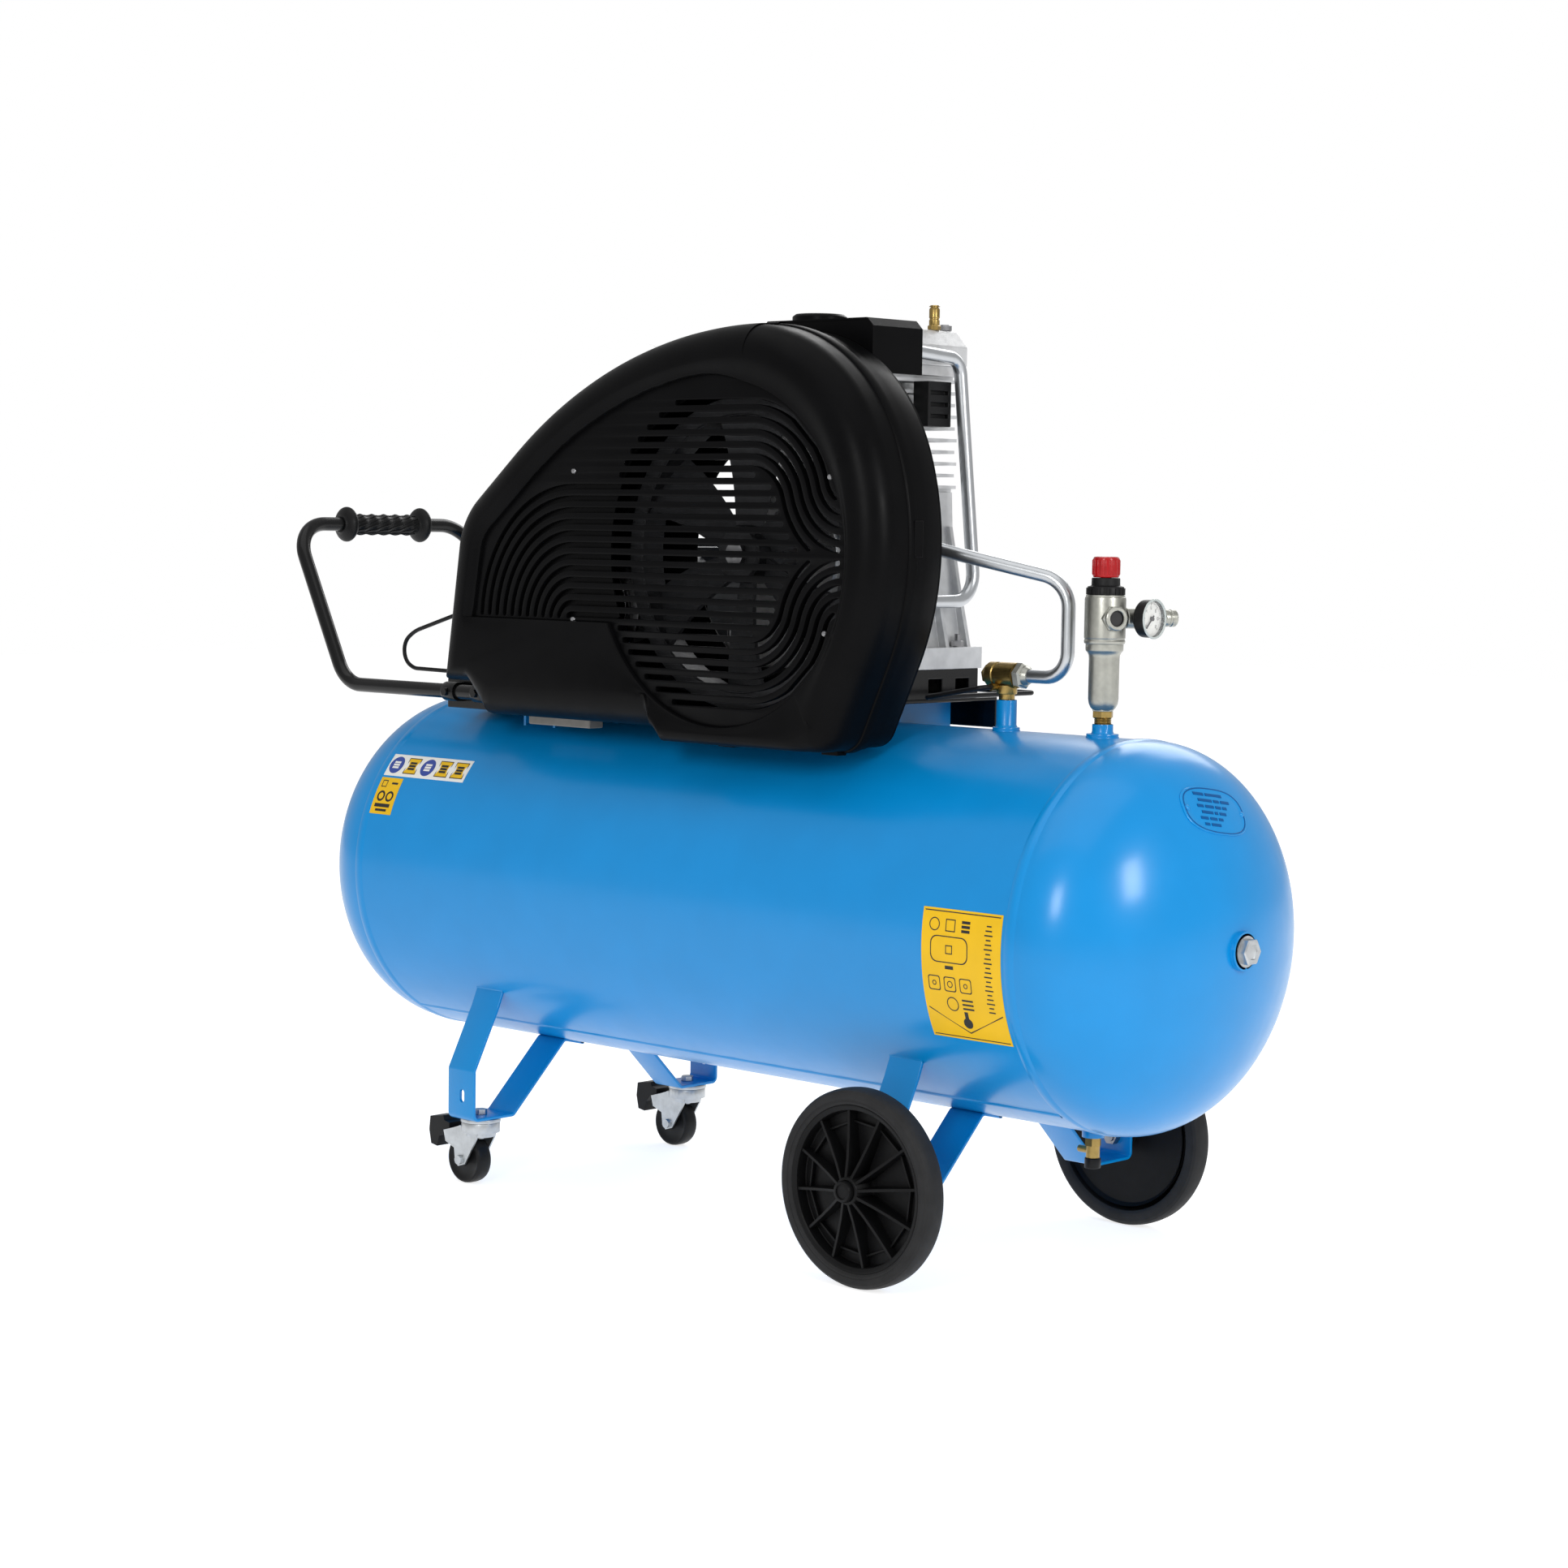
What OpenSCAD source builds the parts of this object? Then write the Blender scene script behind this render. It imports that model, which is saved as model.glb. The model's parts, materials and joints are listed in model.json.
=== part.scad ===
// Belt-driven air compressor on a wheeled receiver. Millimetres.
// X along the receiver (regulator end +X), -Y is the belt guard side, +Z up, floor at z = 0.
// Every module is written in the receiver's frame; x_off centres the whole unit on the origin.

/* [Receiver] */
// outer radius of the receiver
tank_r = 225; // [200:250]
// plate thickness of shell and heads
tank_wall = 4; // [3:6]
// half length of the rolled shell
shell_half = 555; // [480:620]
// depth of each dished head past its straight flange
head_depth = 140; // [110:160]
// straight flange of each head
head_flange = 8; // [5:20]
// height of the receiver axis above the floor
tank_z = 396; // [360:430]
// radius of the seam bead over the shell
bead_r = 226.2; // [225.5:0.1:228]

/* [Sockets and fittings on the receiver] */
// x of the socket that carries the check valve
check_x = 360; // [300:420]
// x of the socket that carries the regulator
reg_x = 502; // [460:530]
// x and y of the pressure switch socket
switch_x = 50; // [0:120]
switch_y = 182; // [170:195]
// outer radius of the sockets
socket_r = 12; // [10:16]
// bore radius of the sockets
socket_bore_r = 8; // [5:9]
// across-flats of the end plug
plug_af = 27; // [22:32]
// length and height of the oval data plate
plate_len = 104; // [80:120]
plate_h = 58; // [40:70]

/* [Legs and wheels] */
// x of the caster legs (swivel axis)
leg_xc = -350; // [-400:-300]
// x of the wheel legs (axle)
leg_xw = 366; // [320:400]
// strap width and thickness of a leg
strap_w = 50; // [40:60]
strap_t = 4; // [3:6]
// outer face of a leg's upright, from the middle plane
leg_y = 222; // [205:235]
// radius of the big wheels
wheel_r = 114; // [100:125]
// middle plane of a big wheel
wheel_y = 247; // [240:260]
// tyre width
tyre_w = 30; // [24:40]
// radius where the rim meets the tyre
rim_r = 96; // [85:102]
// axle bolt radius
axle_r = 6; // [5:8]
// number of spokes in a rim
spokes = 12; // [8:16]
// caster wheel radius and width
caster_r = 31.5; // [28:38]
caster_w = 23; // [18:28]
// swivel axis of a caster, from the middle plane
caster_y = 188; // [175:195]
// trail of the caster wheel behind its swivel axis
caster_trail = 21; // [15:28]
// top of the swivel plate, under the leg strap
caster_top = 88; // [86:90]
// height of the brake pedal's pin, and its distance behind the swivel axis
pedal_z = 60; // [55:65]
pedal_x = 50; // [45:54]

/* [Base plate and handle] */
// left and right end of the base plate
base_x0 = -470; // [-500:-420]
base_x1 = 225; // [180:260]
// half width and top height of the base plate
base_hw = 146; // [120:150]
base_top = 650; // [640:665]
// depth of the folded edges
base_edge = 38; // [25:45]
// radius of the handle tube
handle_r = 9.5; // [8:12]
// handle arms, from the middle plane
handle_y = 157; // [150:165]
// height of the handle's low run and of its grip
handle_z0 = 634; // [625:640]
handle_z1 = 849; // [820:880]
// x of the low corner and of the grip
handle_xc = -668; // [-700:-640]
handle_xg = -781; // [-820:-760]
// inner end of the handle arms, under the guard
handle_x0 = -362; // [-400:-357]
// half length of the grip and radius of its flanges
grip_half = 77; // [70:95]
grip_flange_r = 24.5; // [16:28]

/* [Drive] */
// crank axis in x and z
crank_x = 98; // [80:120]
crank_z = 822; // [800:840]
// motor axis in x and z
motor_x = -160; // [-190:-140]
motor_z = 752; // [740:770]
// motor body radius
motor_r = 86; // [75:95]
// radius of the motor lead
cable_r = 2.8; // [2.5:0.1:4]
// outer radius of flywheel and motor pulley
fly_r = 185; // [160:192]
pulley_r = 62; // [45:70]
// middle plane of the belt
belt_y = -166; // [-175:-155]
// depth of the belt grooves
groove_d = 10; // [8:12]
// crankshaft and motor shaft radius
crank_r = 14; // [12:18]
shaft_r = 12; // [9:14]

/* [Pump] */
// near and far end of the crankcase
pump_y0 = -90; // [-95:-70]
pump_y1 = 118; // [100:130]
// underside of the crankcase foot
pump_z0 = 686; // [680:692]
// bottom and top of the finned cylinders
cyl_z0 = 900; // [880:920]
cyl_z1 = 1040; // [1020:1050]
// number of cooling fins
fins = 10; // [7:14]
// top of the cylinder head
head_top = 1096; // [1085:1100]
// radius of the air tubes
tube_r = 8; // [6:9]
// height at which the air tubes leave the head
tube_z = 1066; // [1060:1075]
// middle of the wide and of the narrow cylinder
cyl_ya = -34; // [-40:-30]
cyl_yb = 64; // [58:70]
// height of the check valve's body
check_z = 686; // [680:692]

/* [Belt guard] */
// front, parting plane and back of the guard
guard_y0 = -226; // [-235:-215]
guard_ym = -152; // [-160:-140]
guard_y1 = -102; // [-110:-98]
// wall thickness
guard_t = 3; // [2.5:4]
// depth and width of the rounded rim
rim_d = 40; // [30:50]
rim_w = 44; // [30:55]
// grille centre and radius
grille_x = 100; // [90:110]
grille_z = 822; // [810:830]
grille_r = 205; // [190:210]
// pitch and width of the grille slots
slot_pitch = 14.2; // [12:20]
slot_w = 6; // [4:9]
// centre of the nested quarter-round slots
nest_x = -157; // [-170:-140]
nest_z = 733; // [720:745]
// underside of the guard below the flywheel and below the motor
guard_bot = 597; // [590:605]
guard_bot2 = 612; // [605:620]
// opening in the guard's back for the crankcase
guard_hole_r = 150; // [80:160]

/* [Regulator] */
// turn of the regulator's ports about its own axis
reg_turn = -24; // [-35:0]
// body and bowl radius
reg_r = 23.5; // [20:26]
bowl_r = 17.5; // [15:20]
// gauge case radius and depth
gauge_r = 23; // [20:26]
gauge_d = 21.5; // [18:28]
// direction the gauge faces
gauge_turn = 2; // [-10:15]
// height of the regulator's ports
port_z = 757; // [750:760]
// the gauge's place along the outlet, and how far its case stands off the outlet's axis
gauge_y = 30; // [30:40]
gauge_x = 15.5; // [13:20]

/* [Selection] */
// which node to build

/* [Hidden] */
x_min = handle_xg - grip_flange_r;
x_max = shell_half + head_flange + head_depth + 15;
x_off = -(x_min + x_max) / 2;
tank_end = shell_half + head_flange;
// the motor lead lies on the base plate
cable_z = base_top + cable_r + 0.2;
$fn = 64;
EPS = 0.01;

// ---------- helpers ----------
module at(x = 0, y = 0, z = 0) translate([x, y, z]) children();
// cylinder along X, Y, from a to b
module cx(r, a, b) translate([a, 0, 0]) rotate([0, 90, 0]) cylinder(r = r, h = b - a);
module cy(r, a, b) translate([0, a, 0]) rotate([-90, 0, 0]) cylinder(r = r, h = b - a);
module cz(r, a, b) translate([0, 0, a]) cylinder(r = r, h = b - a);
// hexagon prism along Z by its across-flats
module hexz(af, a, b) translate([0, 0, a]) cylinder(r = af / sqrt(3), h = b - a, $fn = 6);
module box(x0, x1, y0, y1, z0, z1) translate([x0, y0, z0]) cube([x1 - x0, y1 - y0, z1 - z0]);
// 2-D drawing in the XZ plane, extruded from y = a to y = b
module xz(a, b) translate([0, b, 0]) rotate([90, 0, 0]) linear_extrude(b - a) children();
// 2-D drawing in the YZ plane, extruded from x = a to x = b
module yz(a, b) translate([a, 0, 0]) rotate([90, 0, 90]) linear_extrude(b - a) children();
module both_y() { children(); mirror([0, 1, 0]) children(); }
module tank_solid(grow = 0) at(z = tank_z) cx(tank_r + grow, -700, 700);

function unit(v) = v / norm(v);
// rigid frame at p whose z runs along d and whose x is as near to a as can be
function frame_at(p, d, a) = let(z = unit(d), y = unit(cross(z, a)), x = cross(y, z))
    [[x[0], y[0], z[0], p[0]], [x[1], y[1], z[1], p[1]], [x[2], y[2], z[2], p[2]], [0, 0, 0, 1]];
function any_side(d) = abs(unit(d)[2]) < 0.9 ? [0, 0, 1] : [1, 0, 0];
// how far a bend of radius R eats into each leg of the corner a-b-c
function trim(a, b, c, R) = R * tan(acos(unit(b - a) * unit(c - b)) / 2);
// straight runs and round bends through the points p, tube radius r; R is the bend radius, or one
// for each corner
function bend_r(R, i) = is_list(R) ? R[i - 1] : R;
module tube_path(p, r, R) {
    n = len(p);
    for (i = [0 : n - 2]) {
        s = i == 0 ? 0 : trim(p[i - 1], p[i], p[i + 1], bend_r(R, i));
        e = i == n - 2 ? 0 : trim(p[i], p[i + 1], p[i + 2], bend_r(R, i + 1));
        d = unit(p[i + 1] - p[i]);
        // a straight run is a hair thinner and ends just inside the bend, so the two join cleanly
        o = i == 0 ? 0 : 0.3;
        q = i == n - 2 ? 0 : 0.3;
        multmatrix(frame_at(p[i] + d * (s - o), d, any_side(d)))
            cylinder(r = r - 0.02, h = norm(p[i + 1] - p[i]) - s - e + o + q);
    }
    for (i = [1 : n - 2]) {
        d0 = unit(p[i] - p[i - 1]);
        d1 = unit(p[i + 1] - p[i]);
        t = acos(d0 * d1);
        inward = unit(d1 - d0 * (d0 * d1));
        Ri = bend_r(R, i);
        c = p[i] - d0 * trim(p[i - 1], p[i], p[i + 1], Ri) + inward * Ri;
        ax = cross(inward, d0);
        // local x points from the bend centre to the tube, local y along d0
        multmatrix([[-inward[0], d0[0], -ax[0], c[0]], [-inward[1], d0[1], -ax[1], c[1]],
                    [-inward[2], d0[2], -ax[2], c[2]], [0, 0, 0, 1]])
            rotate_extrude(angle = t) translate([Ri, 0]) circle(r);
    }
}

// ---------- receiver ----------
module tank_shell() color("dodgerblue") difference() {
    at(z = tank_z) cx(tank_r, -shell_half, shell_half);
    at(z = tank_z) cx(tank_r - tank_wall, -shell_half - 1, shell_half + 1);
    at(check_x, 0, tank_z) cz(socket_bore_r, 200, 240);
    at(reg_x, 0, tank_z) cz(socket_bore_r, 200, 240);
    at(reg_x, 0, tank_z) cz(5, -240, -200);
    at(switch_x, switch_y, tank_z) cz(5, 0, 240);
}
// head meridian: r against x, from the straight flange to the crown
function meridian(r, d, n = 28) = [for (i = [0 : n]) [r * cos(90 * i / n), d * sin(90 * i / n)]];
function back(v) = [for (i = [len(v) - 1 : -1 : 0]) v[i]];
module head_outer(grow = 0) rotate([0, 90, 0]) rotate_extrude($fn = 96)
    polygon(concat([[0, 0], [tank_r + grow, 0]],
        [for (q = meridian(tank_r + grow, head_depth + grow)) [q[0], q[1] + head_flange]]));
module head_shell() {
    difference() {
        head_outer();
        rotate([0, 90, 0]) rotate_extrude($fn = 96) polygon(concat([[0, -1], [tank_r - tank_wall, -1]],
            [for (q = meridian(tank_r - tank_wall, head_depth - tank_wall))
                [q[0], q[1] + head_flange]]));
    }
    // seam bead, half on the shell and half on the head
    difference() { cx(bead_r, -6, 6); cx(tank_r, -7, 7); }
}
module tank_head_left() color("dodgerblue") at(-shell_half, 0, tank_z) mirror([1, 0, 0]) head_shell();
module tank_head_right() color("dodgerblue") difference() {
    at(shell_half, 0, tank_z) head_shell();
    at(0, 0, tank_z) cx(12.5, 690, 710);
}
module tank_brackets() color("dodgerblue") {
    difference() {
        union() {
            at(check_x) { cz(socket_r, 600, 657); cz(socket_r + 4, 600, 625); }
            at(reg_x) { cz(socket_r, 600, 636); cz(18.5, 600, 625); }
            at(switch_x, switch_y) cz(11, 480, 640);
            at(reg_x) cz(13, 160, 186);
            // feet under the base plate
            for (x = [-330, 150]) {
                box(x - 30, x - 26, -110, 110, 560, base_top - 7);
                box(x + 26, x + 30, -110, 110, 560, base_top - 7);
                box(x - 30, x + 30, -120, 120, base_top - 7, base_top - 4);
            }
        }
        tank_solid();
        at(check_x) cz(socket_bore_r, 560, 700);
        at(reg_x) cz(socket_bore_r, 560, 700);
        at(reg_x) cz(5, 150, 200);
        at(switch_x, switch_y) cz(5, 400, 700);
    }
    // boss on the crown of the right head
    difference() {
        at(0, 0, tank_z) cx(22, 690, tank_end + head_depth + 5);
        at(shell_half, 0, tank_z) head_outer();
        at(0, 0, tank_z) cx(12.5, 680, 720);
    }
}
module end_plug() color("silver") at(tank_end + head_depth + 5, 0, tank_z) rotate([0, 90, 0]) {
    hexz(plug_af, 0, 10);
    cz(12.45, -14, EPS);
}
module data_plate() color("dodgerblue") {
    rho = 152;
    tilt = 29.7;
    x = tank_end + head_depth * sqrt(1 - pow(rho / tank_r, 2));
    intersection() {
        difference() {
            at(shell_half, 0, tank_z) head_outer(1.6);
            at(shell_half, 0, tank_z) head_outer(0);
        }
        at(x, -3, tank_z + rho) rotate([0, -tilt, 0]) rotate([-9, 0, 0]) yz(-25, 25)
            intersection() {
                square([plate_len, plate_h], center = true);
                circle(plate_len / 2);
                translate([0, 18]) circle(plate_len / 2 + 2);
                translate([0, -18]) circle(plate_len / 2 + 2);
            }
    }
}

// ---------- legs ----------
// both sides of a bent strip of thickness t along the points p, with mitred corners
function side_dir(a, b) = let(d = unit(b - a)) [-d[1], d[0]];
function mitre(p, i) = i == 0 ? side_dir(p[0], p[1])
    : i == len(p) - 1 ? side_dir(p[i - 1], p[i])
    : let(u = side_dir(p[i - 1], p[i]), v = side_dir(p[i], p[i + 1])) (u + v) / (1 + u * v);
function strip(p, t) = concat([for (i = [0 : len(p) - 1]) p[i] + mitre(p, i) * t / 2],
    [for (i = [len(p) - 1 : -1 : 0]) p[i] - mitre(p, i) * t / 2]);
module leg(x) {
    o = leg_y - strap_t / 2;
    p = [[-172, 254], [-181, 232], [-o, 154], [-o, 90], [-153, 90], [-64, 179], [-30, 171.5]];
    difference() {
        yz(x - strap_w / 2, x + strap_w / 2) polygon(strip(p, strap_t));
        tank_solid();
        at(x, 0, wheel_r) cy(axle_r + 0.1, -240, -200);
        at(x, -caster_y) cz(5.1, 80, 100);
        if (x == leg_xc) hull() for (z = [116, 124]) at(x + 2, 0, z) cy(4.5, -240, -200);
    }
}
module legs_caster_end() color("dodgerblue") both_y() leg(leg_xc);
module legs_wheel_end() color("dodgerblue") both_y() leg(leg_xw);

// ---------- big wheels ----------
module wheel_axles() color("dimgray") both_y() at(leg_xw, 0, wheel_r) {
    cy(axle_r, -276, -208);
    rotate([90, 0, 0]) hexz(18, 208, 218);
    cy(11, -231.5, -222);
    cy(12.5, -281, -274.5);
}
module tyre() color("dimgray") at(leg_xw, 0, wheel_r) rotate([90, 0, 0]) rotate_extrude($fn = 128)
    translate([0, wheel_y]) polygon([[rim_r, -12], [rim_r + 6, -tyre_w / 2], [wheel_r - 5, -tyre_w / 2],
        [wheel_r - 1.6, -tyre_w / 2 + 3], [wheel_r, -6], [wheel_r, 6],
        [wheel_r - 1.6, tyre_w / 2 - 3], [wheel_r - 5, tyre_w / 2], [rim_r + 6, tyre_w / 2],
        [rim_r, 12]]);
module rim() color("gray") at(leg_xw, 0, wheel_r) rotate([90, 0, 0]) difference() {
    union() {
        // barrel, web, hub
        translate([0, 0, wheel_y - 12]) difference() {
            cylinder(r = rim_r, h = 24, $fn = 128);
            translate([0, 0, -1]) cylinder(r = rim_r - 4, h = 26, $fn = 128);
        }
        at(z = wheel_y - 3) cylinder(r = rim_r - 2, h = 4);
        at(z = wheel_y - 15) cylinder(r = 15, h = 42);
        for (i = [0 : spokes - 1]) rotate([0, 0, i * 360 / spokes + 8])
            rotate([90, 0, 0]) translate([0, 0, -1.7]) linear_extrude(3.4)
                polygon([[10, wheel_y - 8], [rim_r - 2, wheel_y - 8], [rim_r - 2, wheel_y + 10],
                    [10, wheel_y + 25]]);
    }
    at(z = 100) cylinder(r = axle_r + 0.06, h = 200);
}
module tyre_front() tyre();
module rim_front() rim();
module tyre_rear() mirror([0, 1, 0]) tyre();
module rim_rear() mirror([0, 1, 0]) rim();

// ---------- casters ----------
module caster_plate() at(leg_xc, -caster_y) {
    cz(5, 60, 99);
    cz(26, 83, caster_top);
    hexz(15, 92, 99);
    cz(8, 61.5, 63.6);
}
module caster_plates() color("silver") both_y() caster_plate();
module caster_fork() color("silver") at(leg_xc, -caster_y) difference() {
    union() {
        cz(25, 70, 82.6);
        cz(19, 64, 70.1);
        for (s = [-1, 1]) xz(s * 15.5 - 1.25, s * 15.5 + 1.25)
            polygon([[-22, 76], [14, 76], [10, 62], [-caster_trail + 9, caster_r - 5],
                [-caster_trail - 4, caster_r - 9], [-caster_trail - 10, caster_r - 2],
                [-caster_trail - 12, caster_r + 14], [-50, 52], [-54, 66], [-34, 72]]);
        xz(-16, 16) polygon([[-24, 76], [14, 76], [14, 70], [-24, 70]]);
        // wheel bolt
        at(-caster_trail, 0, caster_r) { cy(3.5, -20, 20); cy(6, -21, -16.7); cy(6, 16.7, 21); }
        at(-pedal_x, 0, pedal_z) cy(2.5, -16, 16);
    }
    cz(5.06, 60, 90);
}
module caster_wheel() color("dimgray") at(leg_xc - caster_trail, -caster_y, caster_r)
    rotate([90, 0, 0])
        rotate_extrude($fn = 96) polygon([[3.56, -caster_w / 2 - 1.5], [9, -caster_w / 2 - 1.5],
            [9, -caster_w / 2 + 1], [caster_r - 4, -caster_w / 2], [caster_r, -caster_w / 2 + 5],
            [caster_r, caster_w / 2 - 5], [caster_r - 4, caster_w / 2], [9, caster_w / 2 - 1],
            [9, caster_w / 2 + 1.5], [3.56, caster_w / 2 + 1.5]]);
module brake_pedal() color("black") at(leg_xc, -caster_y) difference() {
    union() {
        xz(-13.8, 13.8) polygon([[-58, 84], [-84, 80], [-86, 62], [-82, 44], [-70, 42], [-66, 56],
            [-58, 66], [-46, 66], [-46, 76], [-56, 78]]);
        at(-pedal_x, 0, pedal_z) cy(7.5, -13.8, 13.8);
    }
    at(-pedal_x, 0, pedal_z) cy(2.56, -15, 15);
}
module caster_fork_front() caster_fork();
module caster_wheel_front() caster_wheel();
module brake_pedal_front() brake_pedal();
module caster_fork_rear() mirror([0, 1, 0]) caster_fork();
module caster_wheel_rear() mirror([0, 1, 0]) caster_wheel();
module brake_pedal_rear() mirror([0, 1, 0]) brake_pedal();

// ---------- base plate, handle ----------
module base_plate() color("#202020") difference() {
    union() {
        box(base_x0, base_x1, -base_hw, base_hw, base_top - 4, base_top);
        both_y() box(base_x0, base_x1, -base_hw, -base_hw + 4, base_top - base_edge, base_top);
        box(base_x0, base_x0 + 4, -base_hw, base_hw, base_top - base_edge + 10, base_top);
    }
    // openings under the motor and the pump
    box(-200, -120, -20, 90, base_top - 10, base_top + 5);
    box(40, 160, -60, 80, base_top - 10, base_top + 5);
}
module base_pads() color("gray") both_y()
    box(-300, -186, -156, -132, base_top - base_edge - 13, base_top - base_edge);
module pump_stand() color("#181818") difference() {
    box(-20, 222, guard_y1, 112, base_top, pump_z0);
    box(-14, 216, guard_y1 + 6, 106, base_top - 1, pump_z0 - 5);
    box(40, 160, -60, 80, base_top, pump_z0 + 5);
    for (y = [-70, 20, 70]) box(200, 230, y, y + 24, base_top + 8, base_top + 24);
}
module handle_tube() color("#202020") tube_path([[handle_x0, -handle_y, handle_z0],
    [handle_xc, -handle_y, handle_z0], [handle_xg, -handle_y, handle_z1],
    [handle_xg, handle_y, handle_z1], [handle_xc, handle_y, handle_z0],
    [handle_x0, handle_y, handle_z0]], handle_r, 52);
module handle_grip() color("#101010") at(handle_xg, 0, handle_z1) rotate([90, 0, 0]) difference() {
    union() {
        at(z = -grip_half) cylinder(r = 13, h = 2 * grip_half);
        for (s = [-1, 1]) translate([0, 0, s * (grip_half - 11)]) {
            translate([0, 0, -10]) cylinder(r1 = 14, r2 = grip_flange_r, h = 7);
            translate([0, 0, -3]) cylinder(r = grip_flange_r, h = 6);
            translate([0, 0, 3]) cylinder(r1 = grip_flange_r, r2 = 14, h = 7);
        }
        for (i = [-3 : 3]) translate([0, 0, i * 18 - 4.5]) cylinder(r = 14.2, h = 9);
    }
    at(z = -grip_half - 1) cylinder(r = handle_r, h = 2 * grip_half + 2);
}
module handle_clamps() color("#303030") both_y() for (x = [-446, -388]) at(x, 0, handle_z0) {
    difference() {
        union() {
            at(0, -handle_y) cx(handle_r + 3, -12, 12);
            box(-12, 12, -handle_y, -base_hw, -handle_r - 3, handle_r + 3);
        }
        at(0, -handle_y) cx(handle_r, -13, 13);
        box(-13, 13, -base_hw, 0, -20, 20);
    }
    at(0, -handle_y) rotate([90, 0, 0]) hexz(10, handle_r + 3 - 0.5, handle_r + 8);
}

// ---------- motor ----------
module motor_housing() color("slategray") at(motor_x, 0, motor_z) difference() {
    union() {
        cy(motor_r - 10, -50, 150);
        for (i = [0 : 31]) rotate([0, (i + 0.5) * 360 / 32, 0])
            translate([-1.2, -39, motor_r - 14]) cube([2.4, 178, 14]);
        cy(motor_r - 4, -58, -38);
        cy(motor_r - 4, 138, 152);
        cy(34, -72, -57);
        // feet
        for (s = [-1, 1]) box(s * 57 - 16, s * 57 + 16, -30, 110, base_top - motor_z + 5, -54);
        box(-78, 78, -36, 116, base_top - motor_z, base_top - motor_z + 9);
    }
    // rotor space and shaft bores
    cy(50, -46, 140);
    cy(shaft_r + 0.05, -80, 160);
}
module fan_cover() color("#252525") at(motor_x, 0, motor_z) difference() {
    cy(motor_r + 2, 146, 214);
    cy(motor_r, 152, 211.5);
    cy(motor_r - 4, 145, 153);
    for (r = [22 : 11 : 77]) for (q = [0 : 3]) rotate([0, q * 90 + 8, 0])
        translate([0, 205, 0]) rotate([-90, 0, 0]) rotate_extrude(angle = 74)
            translate([r, 0]) square([5, 20]);
}
module terminal_box() color("#252525") at(motor_x, 0, motor_z) difference() {
    union() {
        box(-motor_r - 34, -motor_r + 6, -8, 82, 4, 74);
        box(-motor_r - 38, -motor_r - 34, -12, 86, 0, 78);
        at(0, 6, 20) cx(8, -motor_r - 52, -motor_r - 38);
    }
    cy(motor_r + 0.01, -60, 160);
    at(0, 6, 20) cx(3.5, -motor_r - 53, -motor_r - 34);
}
module motor_shaft() color("silver") at(motor_x, 0, motor_z) {
    cy(shaft_r, -186, 198);
    cy(48, -20, 115);
    // cooling fan
    cy(26, 166, 196);
    for (i = [0 : 7]) rotate([0, i * 45, 0]) translate([-1.5, 168, 20]) cube([3, 24, 52]);
}
// grooved rim section between the belt's sides; r outside radius
module groove_cut(r) rotate([-90, 0, 0]) rotate_extrude($fn = 128)
    polygon([[r - groove_d, belt_y - 5.8], [r + 1, belt_y - 8.6], [r + 1, belt_y + 8.6],
        [r - groove_d, belt_y + 5.8]]);
module motor_pulley() color("silver") at(motor_x, 0, motor_z) difference() {
    union() {
        cy(pulley_r, belt_y - 14, belt_y + 14);
        cy(24, belt_y + 14, belt_y + 26);
    }
    groove_cut(pulley_r);
    cy(shaft_r, -200, -100);
    for (i = [0 : 3]) rotate([0, i * 90 + 45, 0]) at(z = 36) cy(8, -200, -100);
}
module belt_line(r1, r2) hull() {
    translate([crank_x, crank_z]) circle(r1, $fn = 120);
    translate([motor_x, motor_z]) circle(r2, $fn = 72);
}
module drive_belt() color("#101010") xz(belt_y - 5, belt_y + 5) difference() {
    belt_line(fly_r - 1, pulley_r - 1);
    belt_line(fly_r - groove_d + 0.6, pulley_r - groove_d + 0.6);
}

// ---------- pump ----------
module crank_at() at(crank_x, 0, crank_z) children();
module crankcase() color("silver") { crankcase_body(); bearing_cover(); }
module crankcase_body() difference() {
    union() {
        // foot
        box(crank_x - 122, crank_x + 124, pump_y0 + 4, pump_y1, pump_z0, pump_z0 + 26);
        xz(pump_y0 + 8, pump_y1 - 8) polygon([[crank_x - 108, pump_z0 + 20],
            [crank_x + 108, pump_z0 + 20], [crank_x + 92, 790], [crank_x + 80, 858],
            [crank_x + 78, cyl_z0], [crank_x - 78, cyl_z0], [crank_x - 80, 858],
            [crank_x - 92, 790]]);
        crank_at() cy(70, pump_y0, pump_y1 - 4);
        // upright ribs on the near side walls
        for (s = [-1, 1]) for (y = [-60, -20, 20, 60, 100]) xz(y - 3, y + 3)
            polygon([[crank_x + s * 120, pump_z0 + 20], [crank_x + s * 100, 790],
                [crank_x + s * 86, 858], [crank_x + s * 60, 858], [crank_x + s * 60, pump_z0 + 20]]);
    }
    crank_at() cy(crank_r + 0.05, pump_y0 - 5, pump_y1 + 5);
    crank_at() cy(56, pump_y0 + 16, pump_y1 - 22);
    // recess in the front edge of the foot
    box(crank_x + 60, crank_x + 110, pump_y0, pump_y1 - 60, pump_z0 - 1, pump_z0 + 14);
}
module bearing_cover() crank_at() difference() {
    union() {
        cy(52, pump_y1 - 4, pump_y1 + 6);
        cy(30, pump_y1 + 5, pump_y1 + 16);
        for (i = [0 : 5]) rotate([0, i * 60, 0]) at(z = 43) rotate([-90, 0, 0])
            hexz(10, pump_y1 + 6, pump_y1 + 11);
    }
    cy(crank_r + 1, pump_y1 - 5, pump_y1 + 10);
}
module crankshaft() color("gray") crank_at() {
    cy(crank_r, -192, pump_y1 + 6);
    for (y = [-52, 36]) cy(40, y, y + 14);
}
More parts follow.
